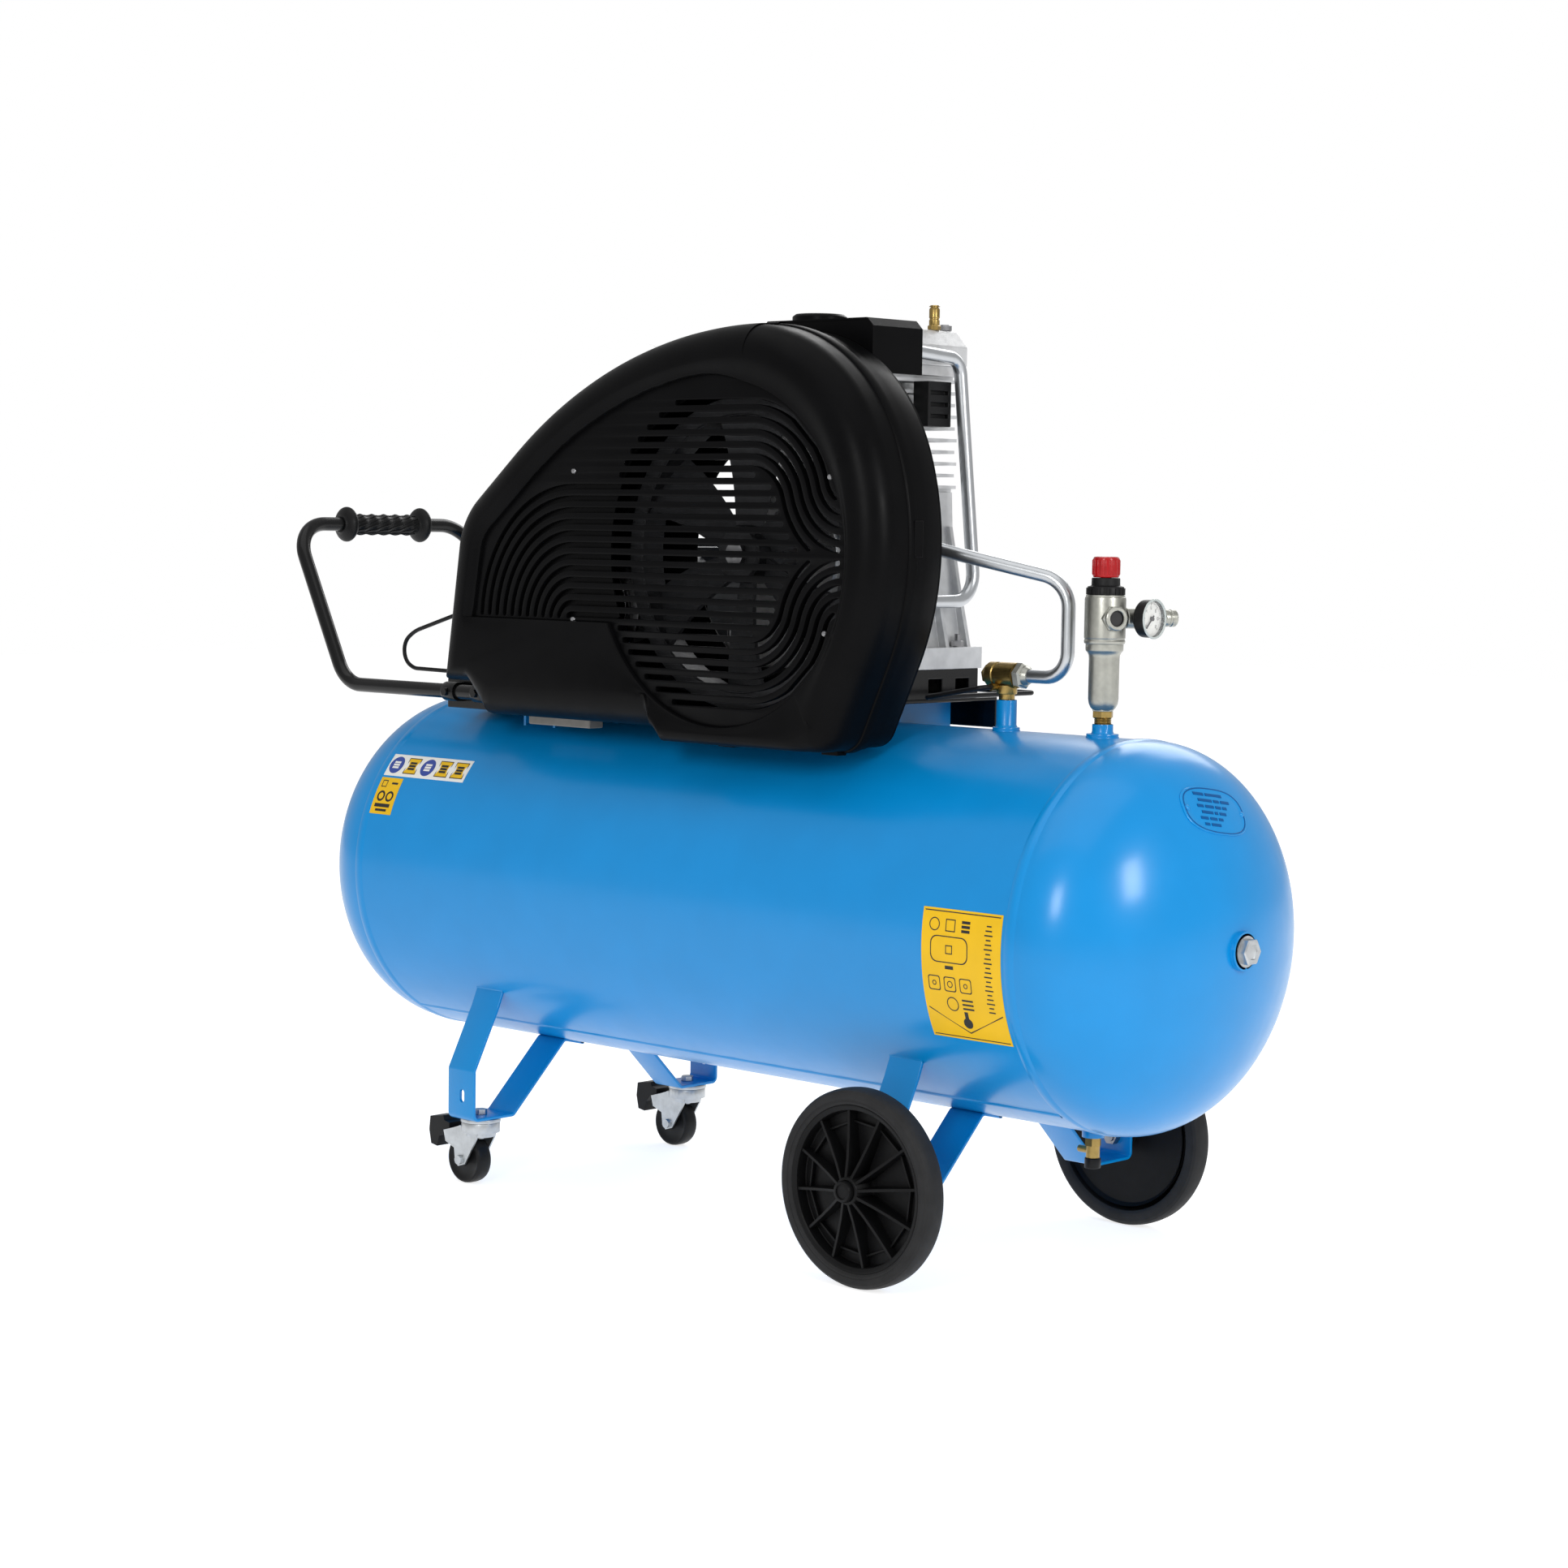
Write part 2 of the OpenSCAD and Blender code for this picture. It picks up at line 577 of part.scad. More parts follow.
module flywheel() color("dimgray") crank_at() difference() {
    union() {
        difference() {
            cy(fly_r, belt_y - 18, belt_y + 18);
            cy(fly_r - 22, belt_y - 19, belt_y + 19);
        }
        cy(34, belt_y - 20, belt_y + 24);
        // fan spokes
        for (i = [0 : 5]) rotate([0, i * 60, 0]) translate([0, belt_y, 95])
            rotate([0, 0, 32]) cube([34, 10, 142], center = true);
    }
    groove_cut(fly_r);
    cy(crank_r, -200, -130);
}
module cylinder_block() color("silver") difference() {
    union() {
        at(crank_x, cyl_ya) cz(58, cyl_z0, cyl_z1);
        at(crank_x, cyl_yb) cz(46, cyl_z0, cyl_z1);
        for (i = [0 : fins - 1]) let (z = cyl_z0 + 4 + i * (cyl_z1 - cyl_z0 - 12) / (fins - 1)) {
            at(crank_x, cyl_ya) cz(i % 2 == 0 ? 64 : 62, z, z + 4);
            box(crank_x - 80, crank_x + 82, -94, i % 2 == 0 ? 112 : 108, z, z + 4);
        }
        box(crank_x - 76, crank_x + 76, -92, 110, cyl_z0, cyl_z0 + 8);
        box(crank_x - 76, crank_x + 76, -92, 110, cyl_z1 - 8, cyl_z1);
    }
    at(crank_x, cyl_ya) cz(42, cyl_z0 - 1, cyl_z1 + 1);
    at(crank_x, cyl_yb) cz(30, cyl_z0 - 1, cyl_z1 + 1);
}
module valve_plate() color("silver") difference() {
    box(crank_x - 84, crank_x + 88, -98, 116, cyl_z1, cyl_z1 + 12);
    for (y = [-58, -18, 52, 76]) at(crank_x, y) cz(7, cyl_z1 - 1, cyl_z1 + 13);
}
module cylinder_head() color("silver") difference() {
    z0 = cyl_z1 + 12;
    xz(-100, 118) polygon([[crank_x - 92, z0], [crank_x + 92, z0], [crank_x + 92, head_top - 20],
        [crank_x + 74, head_top], [crank_x - 74, head_top], [crank_x - 92, head_top - 16]]);
    // fin channels and chambers
    for (x = [-56 : 18 : 52]) box(crank_x + x, crank_x + x + 8, -101, 119, head_top - 12, head_top + 1);
    box(crank_x - 60, crank_x + 60, -80, 0, z0 - 1, z0 + 18);
    box(crank_x - 60, crank_x + 60, 30, 98, z0 - 1, z0 + 18);
}
module air_filter() color("#151515") {
    difference() {
        box(crank_x + 82, crank_x + 106, 30, 72, 978, 1032);
        for (z = [988 : 14 : 1020]) box(crank_x + 100, crank_x + 107, 35, 67, z, z + 5);
    }
}
module pump_bolts() color("gray") {
    for (x = [-66, 66]) for (y = [12, 106]) at(crank_x + x, y) hexz(13, head_top, head_top + 8);
    for (s = [-1, 1]) for (y = [-78, 4, 82]) at(crank_x + s * 115, y) {
        hexz(13, pump_z0 + 26, pump_z0 + 34);
        cz(4, pump_z0 + 34, pump_z0 + 42);
    }
}
module head_safety_valve() color("goldenrod") at(168, 80) {
    hexz(14, head_top, head_top + 6);
    cz(6.5, head_top + 6, head_top + 27);
    cz(5, head_top + 27, head_top + 30);
}
module intercooler_tube() color("lightgray") tube_path([[crank_x + 92, -20, tube_z], [216, -20, tube_z],
    [213, 76, 1060], [228, 95, 768], [228, -60, 768], [216, -60, tube_z], [crank_x + 92, -60, tube_z]],
    tube_r, [16, 22, 34, 34, 18]);
module discharge_tube() color("lightgray") tube_path([[crank_x + 92, -84, tube_z], [214, -84, tube_z],
    [214, -84, 850], [449, 0, 797], [449, 0, check_z], [394, 0, check_z]],
    tube_r, [15, 24, 38, 30]);
module check_valve() color("goldenrod") {
    at(check_x, 0) { cz(9.5, 657, 664); cz(12, 663, 688); }
    at(0, 0, check_z) difference() {
        union() {
            cx(15, 336, 376);
            at(376) rotate([0, 90, 0]) hexz(27, 0, 12);
            at(388) rotate([0, 90, 0]) cylinder(r1 = 12, r2 = 9, h = 6);
            at(328) rotate([0, 90, 0]) hexz(20, 0, 9);
        }
        cx(5, 340, 400);
    }
    at(352, 0, 672) cy(4.5, -20, -3);
}
module unloader_pipe() color("#303030") tube_path([[352, -20, 672], [352, -34, 672],
    [262, -34, 656], [262, 172, 656], [switch_x + 40, 172, 656]], 3, 9);

// ---------- pressure switch ----------
module pressure_switch() color("#202020") at(switch_x, switch_y) {
    box(-40, 40, -24, 30, 640, 652);
    difference() {
        box(-40, 40, -24, 30, 651, 728);
        cz(6, 715, 730);
    }
    box(-30, 30, 30, 33, 664, 720);
}
module switch_knob() color("firebrick") at(switch_x, switch_y) {
    cz(5.94, 716, 732);
    cz(11, 729, 743);
    box(-3, 3, -11, 11, 742, 747);
}
module motor_cable() color("#101010") tube_path([[motor_x - motor_r - 34, 6, motor_z + 20],
    [-340, 6, motor_z + 20], [-430, -46, 758], [-560, -60, 728], [-640, -60, 705],
    [-686, -60, 674], [-640, -60, cable_z + 1], [-560, -60, cable_z], [-310, -60, cable_z],
    [-310, 135, cable_z], [switch_x, 135, cable_z], [switch_x, switch_y - 24, cable_z]],
    cable_r, [40, 60, 60, 70, 22.5, 30, 60, 22.5, 22.5, 22.5]);

// ---------- regulator ----------
module reg_at() at(reg_x) rotate([0, 0, reg_turn]) children();
module regulator_nipple() color("goldenrod") at(reg_x) { cz(9.5, 636, 643); hexz(22, 643, 651.5); }
module regulator_bowl() color("silver") at(reg_x) rotate_extrude($fn = 64)
    polygon(concat([[0, 651.5], [9, 651.5]],
        [for (i = [0 : 8]) [9 + (bowl_r - 9) * sin(i * 11.25), 663 - 11 * cos(i * 11.25)]],
        [[bowl_r, 718], [reg_r - 2, 722], [reg_r - 2, 728], [0, 728]]));
module regulator_body() color("silver") reg_at() difference() {
    union() {
        cz(reg_r, 728, 783);
        at(z = port_z) rotate([0, 90, 0]) hexz(27, 18, 27);
        at(z = port_z) rotate([-90, 0, 0]) hexz(22, 20, 24);
        at(z = port_z) rotate([0, -90, 0]) hexz(22, 20, 26);
        cz(21, 783, 793);
        cz(16, 793, 802.5);
    }
    at(z = port_z) cx(6.6, 12, 30);
    at(z = port_z) cy(6.6, 12, 30);
    cz(7, 785, 805);
}
module regulator_knob() color("red") at(reg_x) difference() {
    union() { cz(15.7, 803, 826.5); cz(6.94, 787, 803.5); }
    for (i = [0 : 23]) rotate([0, 0, i * 15]) at(16.4, 0) cz(1.3, 806, 830);
}
module air_outlet() color("silver") reg_at() at(z = port_z) {
    cy(6.5, 14, 24.5);
    difference() {
        union() {
            cy(9, 24, 62);
            difference() { at(0, gauge_y) cz(12, -14, 14); box(-15, 15, 15, 24, -15, 15); }
            rotate([-90, 0, 0]) hexz(24, 62, 74);
            cy(10, 73, 90);
        }
        cy(6, 76, 91);
    }
    at(0, gauge_y) rotate([0, 0, gauge_turn - reg_turn]) cx(6, 8, gauge_x);
}
module gauge_at() reg_at() at(0, gauge_y, port_z) rotate([0, 0, gauge_turn - reg_turn]) children();
module gauge_case() color("#151515") gauge_at() difference() {
    face = gauge_x + gauge_d;
    wall_r = gauge_r - 1.5;
    back = 7;
    union() {
        rotate([0, 90, 0]) at(z = gauge_x) cylinder(r1 = 10, r2 = wall_r, h = back);
        cx(wall_r, gauge_x + back, face);
        cx(gauge_r, face - 4, face);
    }
    cx(gauge_r - 3, face - 6, face + 1);
    cx(1.55, face - 13, face + 1);
}
module gauge_needle() color("#101010") gauge_at() {
    face = gauge_x + gauge_d;
    cx(1.5, face - 12, face - 3);
    at(face - 4.5) rotate([135, 0, 0]) box(0, 0.8, -0.8, 0.8, -5, 15);
    cx(2.6, face - 5, face - 2.7);
}

// ---------- drain ----------
module drain_valve() color("goldenrod") at(reg_x) difference() {
    union() { hexz(17, 150, 160); cz(8, 136, 151); cz(4.9, 160, 168); at(z = 144) cx(4, -20, -6); }
    cz(3.06, 130, 150);
}
module drain_knob() color("#181818") at(reg_x) { cz(9.5, 124, 135.6); cz(3, 135, 148); }

// ---------- guard ----------
// outline of the guard in XZ, drawn t inside the true edge: [x, z, r, from, to]
guard_arcs = [[19.8, 833.7, 330, -25, 20], [125, 872, 218, 20, 90], [140, 431, 660, 90, 129],
    [-280.5, 811, 100, 129, 172]];
function arc_pts(a, t, n) = [for (i = [0 : n])
    let (w = a[3] + (a[4] - a[3]) * i / n) [a[0] + (a[2] - t) * cos(w), a[1] + (a[2] - t) * sin(w)]];
function guard_line(t) = concat(arc_pts([251.3, 631.8, max(35, t + 1), -90, -25], t, 6),
    arc_pts(guard_arcs[0], t, 8), arc_pts(guard_arcs[1], t, 12), arc_pts(guard_arcs[2], t, 12),
    arc_pts(guard_arcs[3], t, 8),
    [[-404 + t, 652 + t * 0.5], [-352 + t * 0.3, 652 + t * 0.5], [-326 + t * 0.6, guard_bot2 + t],
     [-20, guard_bot2 + t], [8, guard_bot + t]]);
module outline(t) polygon(guard_line(t));
module recess() {
    intersection() { outline(78); translate([-400, nest_z + 2]) square([900, 500]); }
    translate([grille_x, grille_z]) circle(grille_r);
}
module slots() {
    intersection() {
        translate([grille_x, grille_z]) circle(grille_r - 8);
        for (k = [-13 : 13]) translate([-76, grille_z + k * slot_pitch - slot_w / 2])
            square([400, slot_w]);
    }
    for (k = [-5 : 6]) let (r = grille_z + k * slot_pitch - nest_z) {
        translate([nest_x, grille_z + k * slot_pitch - slot_w / 2]) square([70, slot_w]);
        translate([nest_x, nest_z]) intersection() {
            difference() { circle(r + slot_w / 2); circle(r - slot_w / 2); }
            translate([-200, 4]) square([200, 200]);
        }
    }
}
// rim section: inset of the outline at step k of n, and how far that step stands from the front
function rim_in(k, n) = rim_w * (1 - sin(90 * k / n));
function rim_dep(k, n) = rim_d * (1 - cos(90 * k / n));
module rim_stack(n, t) for (k = [0 : n - 1])
    xz(guard_y0 + t + rim_dep(k, n), guard_y0 + t + rim_dep(k + 1, n) + EPS)
        outline(t + rim_in(k + 0.5, n));
module guard_front() color("#1a1a1a") difference() {
    union() {
        xz(guard_y0 + rim_d, guard_ym) outline(0);
        rim_stack(9, 0);
    }
    xz(guard_y0 + rim_d + guard_t, guard_ym + 1) outline(guard_t);
    intersection() {
        rim_stack(4, guard_t + 1);
        box(-500, 500, guard_y0 + 15, guard_ym, 500, 1200);
    }
    xz(guard_y0 - 1, guard_y0 + 11) recess();
    xz(guard_y0 - 1, guard_y0 + 20) slots();
}
module guard_rear() color("#1a1a1a") difference() {
    xz(guard_ym, guard_y1) outline(0);
    xz(guard_ym - 1, guard_y1 - guard_t) outline(guard_t);
    crank_at() cy(guard_hole_r, guard_y1 - 10, guard_y1 + 10);
    at(motor_x, 0, motor_z) cy(44, guard_y1 - 10, guard_y1 + 10);
    for (k = [-8 : 8]) if (abs(k) > 0) box(-140, -70, guard_y1 - 10, guard_y1 + 5,
        900 + k * 10, 904 + k * 10);
    // the back skin stands on the base plate; the plate's front edge runs inside the guard
    box(-480, base_x1 + 3, guard_ym - 1, guard_y1 + 1, 590, base_top);
    box(-480, -340, guard_ym - 1, guard_y1 - guard_t - 0.5, 590, base_top + 3);
}
module air_shroud() color("#1a1a1a") {
    z0 = head_top + 1;
    xz(guard_y1, -14) polygon([[58, z0], [61, z0 + 3], [222, z0 + 3], [232, z0 - 7], [232, z0 - 61],
        [229, z0 - 61], [229, z0 - 8], [221, z0]]);
    // intake filter lid
    at(106, -58, z0 + 3) { cz(33, 0, 6); at(z = 6) cylinder(r1 = 33, r2 = 29, h = 3); }
}

// ---------- selection ----------
translate([x_off, 0, 0]) {
    tank_shell();
    tank_head_left();
    tank_head_right();
    tank_brackets();
    end_plug();
    data_plate();
    base_plate();
    base_pads();
    pump_stand();
    guard_front();
    guard_rear();
    air_shroud();
    handle_tube();
    handle_grip();
    handle_clamps();
    motor_housing();
    fan_cover();
    terminal_box();
    motor_shaft();
    motor_pulley();
    drive_belt();
    crankcase();
    crankshaft();
    flywheel();
    cylinder_block();
    valve_plate();
    cylinder_head();
    air_filter();
    pump_bolts();
    head_safety_valve();
    intercooler_tube();
    discharge_tube();
    check_valve();
    unloader_pipe();
    pressure_switch();
    switch_knob();
    motor_cable();
    regulator_nipple();
    regulator_body();
    regulator_bowl();
    regulator_knob();
    gauge_case();
    gauge_needle();
    air_outlet();
    drain_valve();
    drain_knob();
    legs_caster_end();
    legs_wheel_end();
    wheel_axles();
    tyre_front();
    rim_front();
    tyre_rear();
    rim_rear();
    caster_plates();
    caster_fork_front();
    caster_fork_rear();
    caster_wheel_front();
    caster_wheel_rear();
    brake_pedal_front();
    brake_pedal_rear();
}
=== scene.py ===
"""Belt-driven air compressor on a wheeled receiver: the looks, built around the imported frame.

Lengths are in millimetres in the receiver's own frame (x = 0 at the middle of the shell) until
pt() turns them into metres in the shared frame.
"""

import json
import math

import bmesh
import bpy
import numpy as np
from mathutils import Matrix, Vector


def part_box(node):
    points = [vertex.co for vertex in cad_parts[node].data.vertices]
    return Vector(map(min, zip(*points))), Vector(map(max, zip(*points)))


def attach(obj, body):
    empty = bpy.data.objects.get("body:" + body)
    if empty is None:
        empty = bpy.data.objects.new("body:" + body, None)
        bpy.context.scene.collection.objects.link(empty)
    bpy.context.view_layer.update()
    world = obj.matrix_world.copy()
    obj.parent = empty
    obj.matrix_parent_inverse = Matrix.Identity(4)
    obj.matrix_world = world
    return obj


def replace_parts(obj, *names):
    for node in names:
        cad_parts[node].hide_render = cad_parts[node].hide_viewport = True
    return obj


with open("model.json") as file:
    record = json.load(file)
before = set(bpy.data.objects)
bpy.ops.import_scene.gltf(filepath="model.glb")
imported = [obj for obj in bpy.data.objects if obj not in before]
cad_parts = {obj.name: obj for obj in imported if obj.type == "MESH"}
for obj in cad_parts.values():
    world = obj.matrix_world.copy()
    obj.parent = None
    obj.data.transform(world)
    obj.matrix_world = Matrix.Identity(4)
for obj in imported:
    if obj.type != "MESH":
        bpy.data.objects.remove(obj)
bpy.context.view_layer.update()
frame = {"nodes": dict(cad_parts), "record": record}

MM = 0.001
SHELL_LO, SHELL_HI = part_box("tank_shell")
X0 = (SHELL_LO.x + SHELL_HI.x) / 2
TANK_R = (SHELL_HI.z - SHELL_LO.z) / 2 / MM
TANK_Z = (SHELL_HI.z + SHELL_LO.z) / 2 / MM
SHELL_HALF = (SHELL_HI.x - SHELL_LO.x) / 2 / MM


def pt(x, y, z):
    """A point in millimetres in the receiver's frame, as metres in the shared frame."""
    return Vector((X0 + x * MM, y * MM, z * MM))


def placed(name, data):
    """A new object, linked into the scene."""
    made = bpy.data.objects.new(name, data)
    bpy.context.scene.collection.objects.link(made)
    return made


# ---------- camera, light, floor ----------
CAMERA_AT = Vector((2.78935, -2.8966, 0.8564))
CAMERA_AZIMUTH = math.radians(43.433)
CAMERA_ELEVATION = math.radians(4.613)
CAMERA_ROLL = math.radians(0.855)
LENS = 73.56
LIT_POINT = Vector((0, 0, 0.6))
DOME, BACKDROP = 0.52, 1.0
FLOOR_GLOW, FLOOR_HALF = 0.76, 14


def aimed(azimuth, elevation, roll):
    """Rotation matrix of a camera or lamp that looks at the object from this azimuth and elevation."""
    back = Vector((math.sin(azimuth) * math.cos(elevation), -math.cos(azimuth) * math.cos(elevation),
                   math.sin(elevation)))
    flat_right = Vector((math.cos(azimuth), math.sin(azimuth), 0))
    flat_up = back.cross(flat_right)
    right = flat_right * math.cos(roll) + flat_up * math.sin(roll)
    up = back.cross(right)
    return Matrix((right, up, back)).transposed()


def make_camera():
    data = bpy.data.cameras.new("camera")
    data.lens, data.sensor_width = LENS, 36
    data.clip_start, data.clip_end = 0.05, 60
    camera = placed("camera", data)
    camera.matrix_world = Matrix.Translation(CAMERA_AT) @ aimed(
        CAMERA_AZIMUTH, CAMERA_ELEVATION, CAMERA_ROLL).to_4x4()
    bpy.context.scene.camera = camera


def area_light(name, azimuth, elevation, distance, size, power):
    """A soft lamp that faces LIT_POINT from an azimuth and elevation in degrees."""
    data = bpy.data.lights.new(name, "AREA")
    data.shape = "RECTANGLE"
    data.size, data.size_y = size
    data.energy = power
    turn = aimed(math.radians(azimuth), math.radians(elevation), 0)
    placed(name, data).matrix_world = (Matrix.Translation(LIT_POINT + turn.col[2] * distance)
                                       @ turn.to_4x4())


def make_studio():
    world = bpy.data.worlds.new("studio")
    bpy.context.scene.world = world
    world.use_nodes = True
    nodes, links = world.node_tree.nodes, world.node_tree.links
    dome, backdrop = nodes["Background"], nodes.new("ShaderNodeBackground")
    dome.inputs["Color"].default_value = backdrop.inputs["Color"].default_value = (1.0, 1.0, 1.0, 1)
    dome.inputs["Strength"].default_value = DOME
    backdrop.inputs["Strength"].default_value = BACKDROP
    seen = nodes.new("ShaderNodeMixShader")
    links.new(nodes.new("ShaderNodeLightPath").outputs["Is Camera Ray"], seen.inputs["Fac"])
    links.new(dome.outputs[0], seen.inputs[1])
    links.new(backdrop.outputs[0], seen.inputs[2])
    links.new(seen.outputs[0], nodes["World Output"].inputs["Surface"])
    area_light("top_soft", 10, 74, 3.8, (4.6, 3.6), 42)
    area_light("right_strip", 83, 18, 3.2, (0.5, 0.8), 27)
    area_light("front_strip", 25, 18, 3.6, (0.6, 0.9), 30)
    area_light("back_fill", 200, 35, 4.0, (2.4, 2.0), 50)
    bpy.context.scene.view_settings.view_transform = "Standard"


def make_floor():
    mesh = bpy.data.meshes.new("floor")
    mesh.from_pydata([(x * FLOOR_HALF, y * FLOOR_HALF, 0) for x, y in ((-1, -1), (1, -1), (1, 1), (-1, 1))],
                     [], [(0, 1, 2, 3)])
    mesh.materials.append(FLOOR)
    floor = placed("floor", mesh)


# ---------- materials ----------
def linear(r, g, b):
    """An 8-bit screen colour as linear light."""
    return tuple(((c / 255 + 0.055) / 1.055) ** 2.4 if c > 10 else c / 255 / 12.92 for c in (r, g, b))


def finish_material(name, colour, rough, metallic=0.0, tint=0.08, rough_span=0.08, patch=14.0,
                    grain=900.0, grain_depth=0.00003, wave=0.0, wave_scale=60.0, coat=0.0,
                    coat_rough=0.08, specular=0.5, dust=0.0, worn=None, worn_amount=0.0):
    """A procedural finish: patchy tone and gloss, fine grain, slow waviness, dust on top, worn edges."""
    material = bpy.data.materials.new(name)
    material.use_nodes = True
    nodes, links = material.node_tree.nodes, material.node_tree.links
    shader = nodes["Principled BSDF"]
    for key, value in (("Metallic", metallic), ("Coat Weight", coat), ("Coat Roughness", coat_rough),
                       ("Specular IOR Level", specular)):
        shader.inputs[key].default_value = value
    place = nodes.new("ShaderNodeTexCoord").outputs["Object"]

    def noise(scale, detail=3.0):
        node = nodes.new("ShaderNodeTexNoise")
        node.inputs["Scale"].default_value = scale
        node.inputs["Detail"].default_value = detail
        links.new(place, node.inputs["Vector"])
        return node.outputs["Fac"]

    def spread(value, low, high, out_low, out_high):
        node = nodes.new("ShaderNodeMapRange")
        for key, number in zip(("From Min", "From Max", "To Min", "To Max"),
                               (low, high, out_low, out_high)):
            node.inputs[key].default_value = number
        links.new(value, node.inputs["Value"])
        return node.outputs["Result"]

    def mixed(factor, first, second):
        node = nodes.new("ShaderNodeMix")
        node.data_type = "RGBA"
        links.new(factor, node.inputs["Factor"])
        for socket, value in ((node.inputs[6], first), (node.inputs[7], second)):
            if isinstance(value, tuple):
                socket.default_value = (*value, 1)
            else:
                links.new(value, socket)
        return node.outputs[2]

    dark = tuple(c * (1 - tint) for c in colour)
    light = tuple(min(1, c * (1 + tint) + tint * 0.004) for c in colour)
    tone = mixed(spread(noise(patch), 0.3, 0.7, 0, 1), dark, light)
    if dust:
        facing = nodes.new("ShaderNodeSeparateXYZ")
        links.new(nodes.new("ShaderNodeNewGeometry").outputs["Normal"], facing.inputs[0])
        settled = nodes.new("ShaderNodeMath")
        settled.operation = "MULTIPLY"
        links.new(spread(facing.outputs["Z"], 0.3, 1.0, 0, dust), settled.inputs[0])
        links.new(spread(noise(45, 6), 0.35, 0.75, 0.2, 1), settled.inputs[1])
        tone = mixed(settled.outputs[0], tone, linear(150, 146, 138))
    if worn:
        edge = spread(nodes.new("ShaderNodeNewGeometry").outputs["Pointiness"], 0.52, 0.60, 0,
                      worn_amount)
        tone = mixed(edge, tone, worn)
    links.new(tone, shader.inputs["Base Color"])
    links.new(spread(noise(patch * 3.1), 0.3, 0.7, rough - rough_span / 2, rough + rough_span / 2),
              shader.inputs["Roughness"])
    normal = shader.inputs["Normal"]
    for depth, height in ((grain_depth, (grain, 2)), (wave, (wave_scale, 1))):
        if depth:
            bump = nodes.new("ShaderNodeBump")
            bump.inputs["Distance"].default_value = depth
            links.new(noise(*height), bump.inputs["Height"])
            links.new(bump.outputs["Normal"], normal)
            normal = bump.inputs["Normal"]
    return material


BLUE = finish_material("blue_gloss_paint", linear(0, 131, 199), 0.32, tint=0.03, rough_span=0.05,
                       grain=420, grain_depth=0.000006, wave=0.00003, wave_scale=60, coat=0.4,
                       coat_rough=0.2, specular=0.18)
BLACK_PLASTIC = finish_material("black_moulded_plastic", linear(8, 8, 9), 0.36, tint=0.12,
                                grain=1500, grain_depth=0.00003, wave=0.00003, wave_scale=18,
                                specular=0.05)
BLACK_PAINT = finish_material("black_satin_paint", linear(11, 11, 12), 0.22, tint=0.15, grain=700,
                              grain_depth=0.00001, specular=0.28)
ZINC = finish_material("bright_zinc", linear(186, 189, 191), 0.36, metallic=0.95, tint=0.1, patch=90,
                       rough_span=0.16, grain=600, grain_depth=0.000008)
STEEL = finish_material("machined_steel", linear(150, 150, 152), 0.34, metallic=1, tint=0.15,
                        patch=60, rough_span=0.15, grain_depth=0.000008)
CAST = finish_material("cast_alloy", linear(205, 206, 207), 0.46, metallic=0.6, tint=0.12,
                       patch=45, rough_span=0.15, grain=520, grain_depth=0.00016,
                       worn=linear(235, 235, 236), worn_amount=0.4)
TUBE = finish_material("drawn_alloy_tube", linear(192, 195, 198), 0.30, metallic=0.95, tint=0.04,
                       patch=50, rough_span=0.04, grain=800, grain_depth=0.000005)
NICKEL = finish_material("satin_nickel", linear(168, 168, 160), 0.36, metallic=0.9, tint=0.08,
                         patch=120, rough_span=0.12, grain=900, grain_depth=0.000006)
BRASS = finish_material("turned_brass", linear(158, 134, 80), 0.34, metallic=1, tint=0.12,
                        patch=150, rough_span=0.14, grain_depth=0.000008)
IRON = finish_material("painted_cast_iron", linear(62, 63, 66), 0.50, metallic=0.3, tint=0.2,
                       patch=30, grain=350, grain_depth=0.0003)
TYRE = finish_material("tyre_rubber", linear(32, 32, 33), 0.62, tint=0.18, patch=35, grain=900,
                       grain_depth=0.00006, specular=0.22, dust=0.03)
RUBBER = finish_material("black_rubber", linear(16, 16, 17), 0.42, tint=0.15, patch=50, grain=1100,
                         specular=0.2)
GREY_RUBBER = finish_material("grey_rubber", linear(120, 117, 112), 0.7, tint=0.12, patch=60)
RIM_PLASTIC = finish_material("moulded_rim_plastic", linear(13, 13, 14), 0.46, tint=0.14, patch=40,
                              grain=1300, specular=0.14)
MOTOR_PAINT = finish_material("motor_paint", linear(48, 52, 58), 0.42, tint=0.1, patch=30,
                              grain=600, grain_depth=0.00008)
RED = finish_material("red_moulded_plastic", linear(160, 12, 18), 0.32, tint=0.06, patch=80,
                      coat=0.1, grain=900, specular=0.3)
# a darker copy of the blue paint for the data plate's raised bars and ring: painted shade of the embossing, not
# a different paint
BLUE_PAINTED_SHADE = finish_material("blue_raised_painted_shade", linear(0, 78, 138), 0.4, tint=0.05, specular=0.2)
# black for print and the needle, and also for the inside of the regulator's port, where it is painted shade
INK_AND_PAINTED_SHADE = finish_material("black_ink_and_painted_shade", linear(16, 16, 17), 0.5, tint=0.1)
PEDAL = finish_material("black_nylon", linear(18, 18, 19), 0.44, tint=0.12, grain=1200, specular=0.2)
YELLOW = finish_material("yellow_sticker", linear(224, 178, 14), 0.42, tint=0.04, patch=25, specular=0.3)
WHITE = finish_material("white_sticker", linear(226, 226, 222), 0.42, tint=0.02, patch=25, specular=0.3)
BLUE_INK = finish_material("blue_ink", linear(40, 66, 150), 0.45, tint=0.06)
CLEAR_RIM = finish_material("clear_lens_rim", linear(176, 182, 180), 0.2, tint=0.03, specular=0.5)
GLASS_ALPHA = 0.12
GLASS = finish_material("gauge_glass", (1.0, 1.0, 1.0), 0.03, tint=0.0, rough_span=0.01)
GLASS.node_tree.nodes["Principled BSDF"].inputs["Alpha"].default_value = GLASS_ALPHA
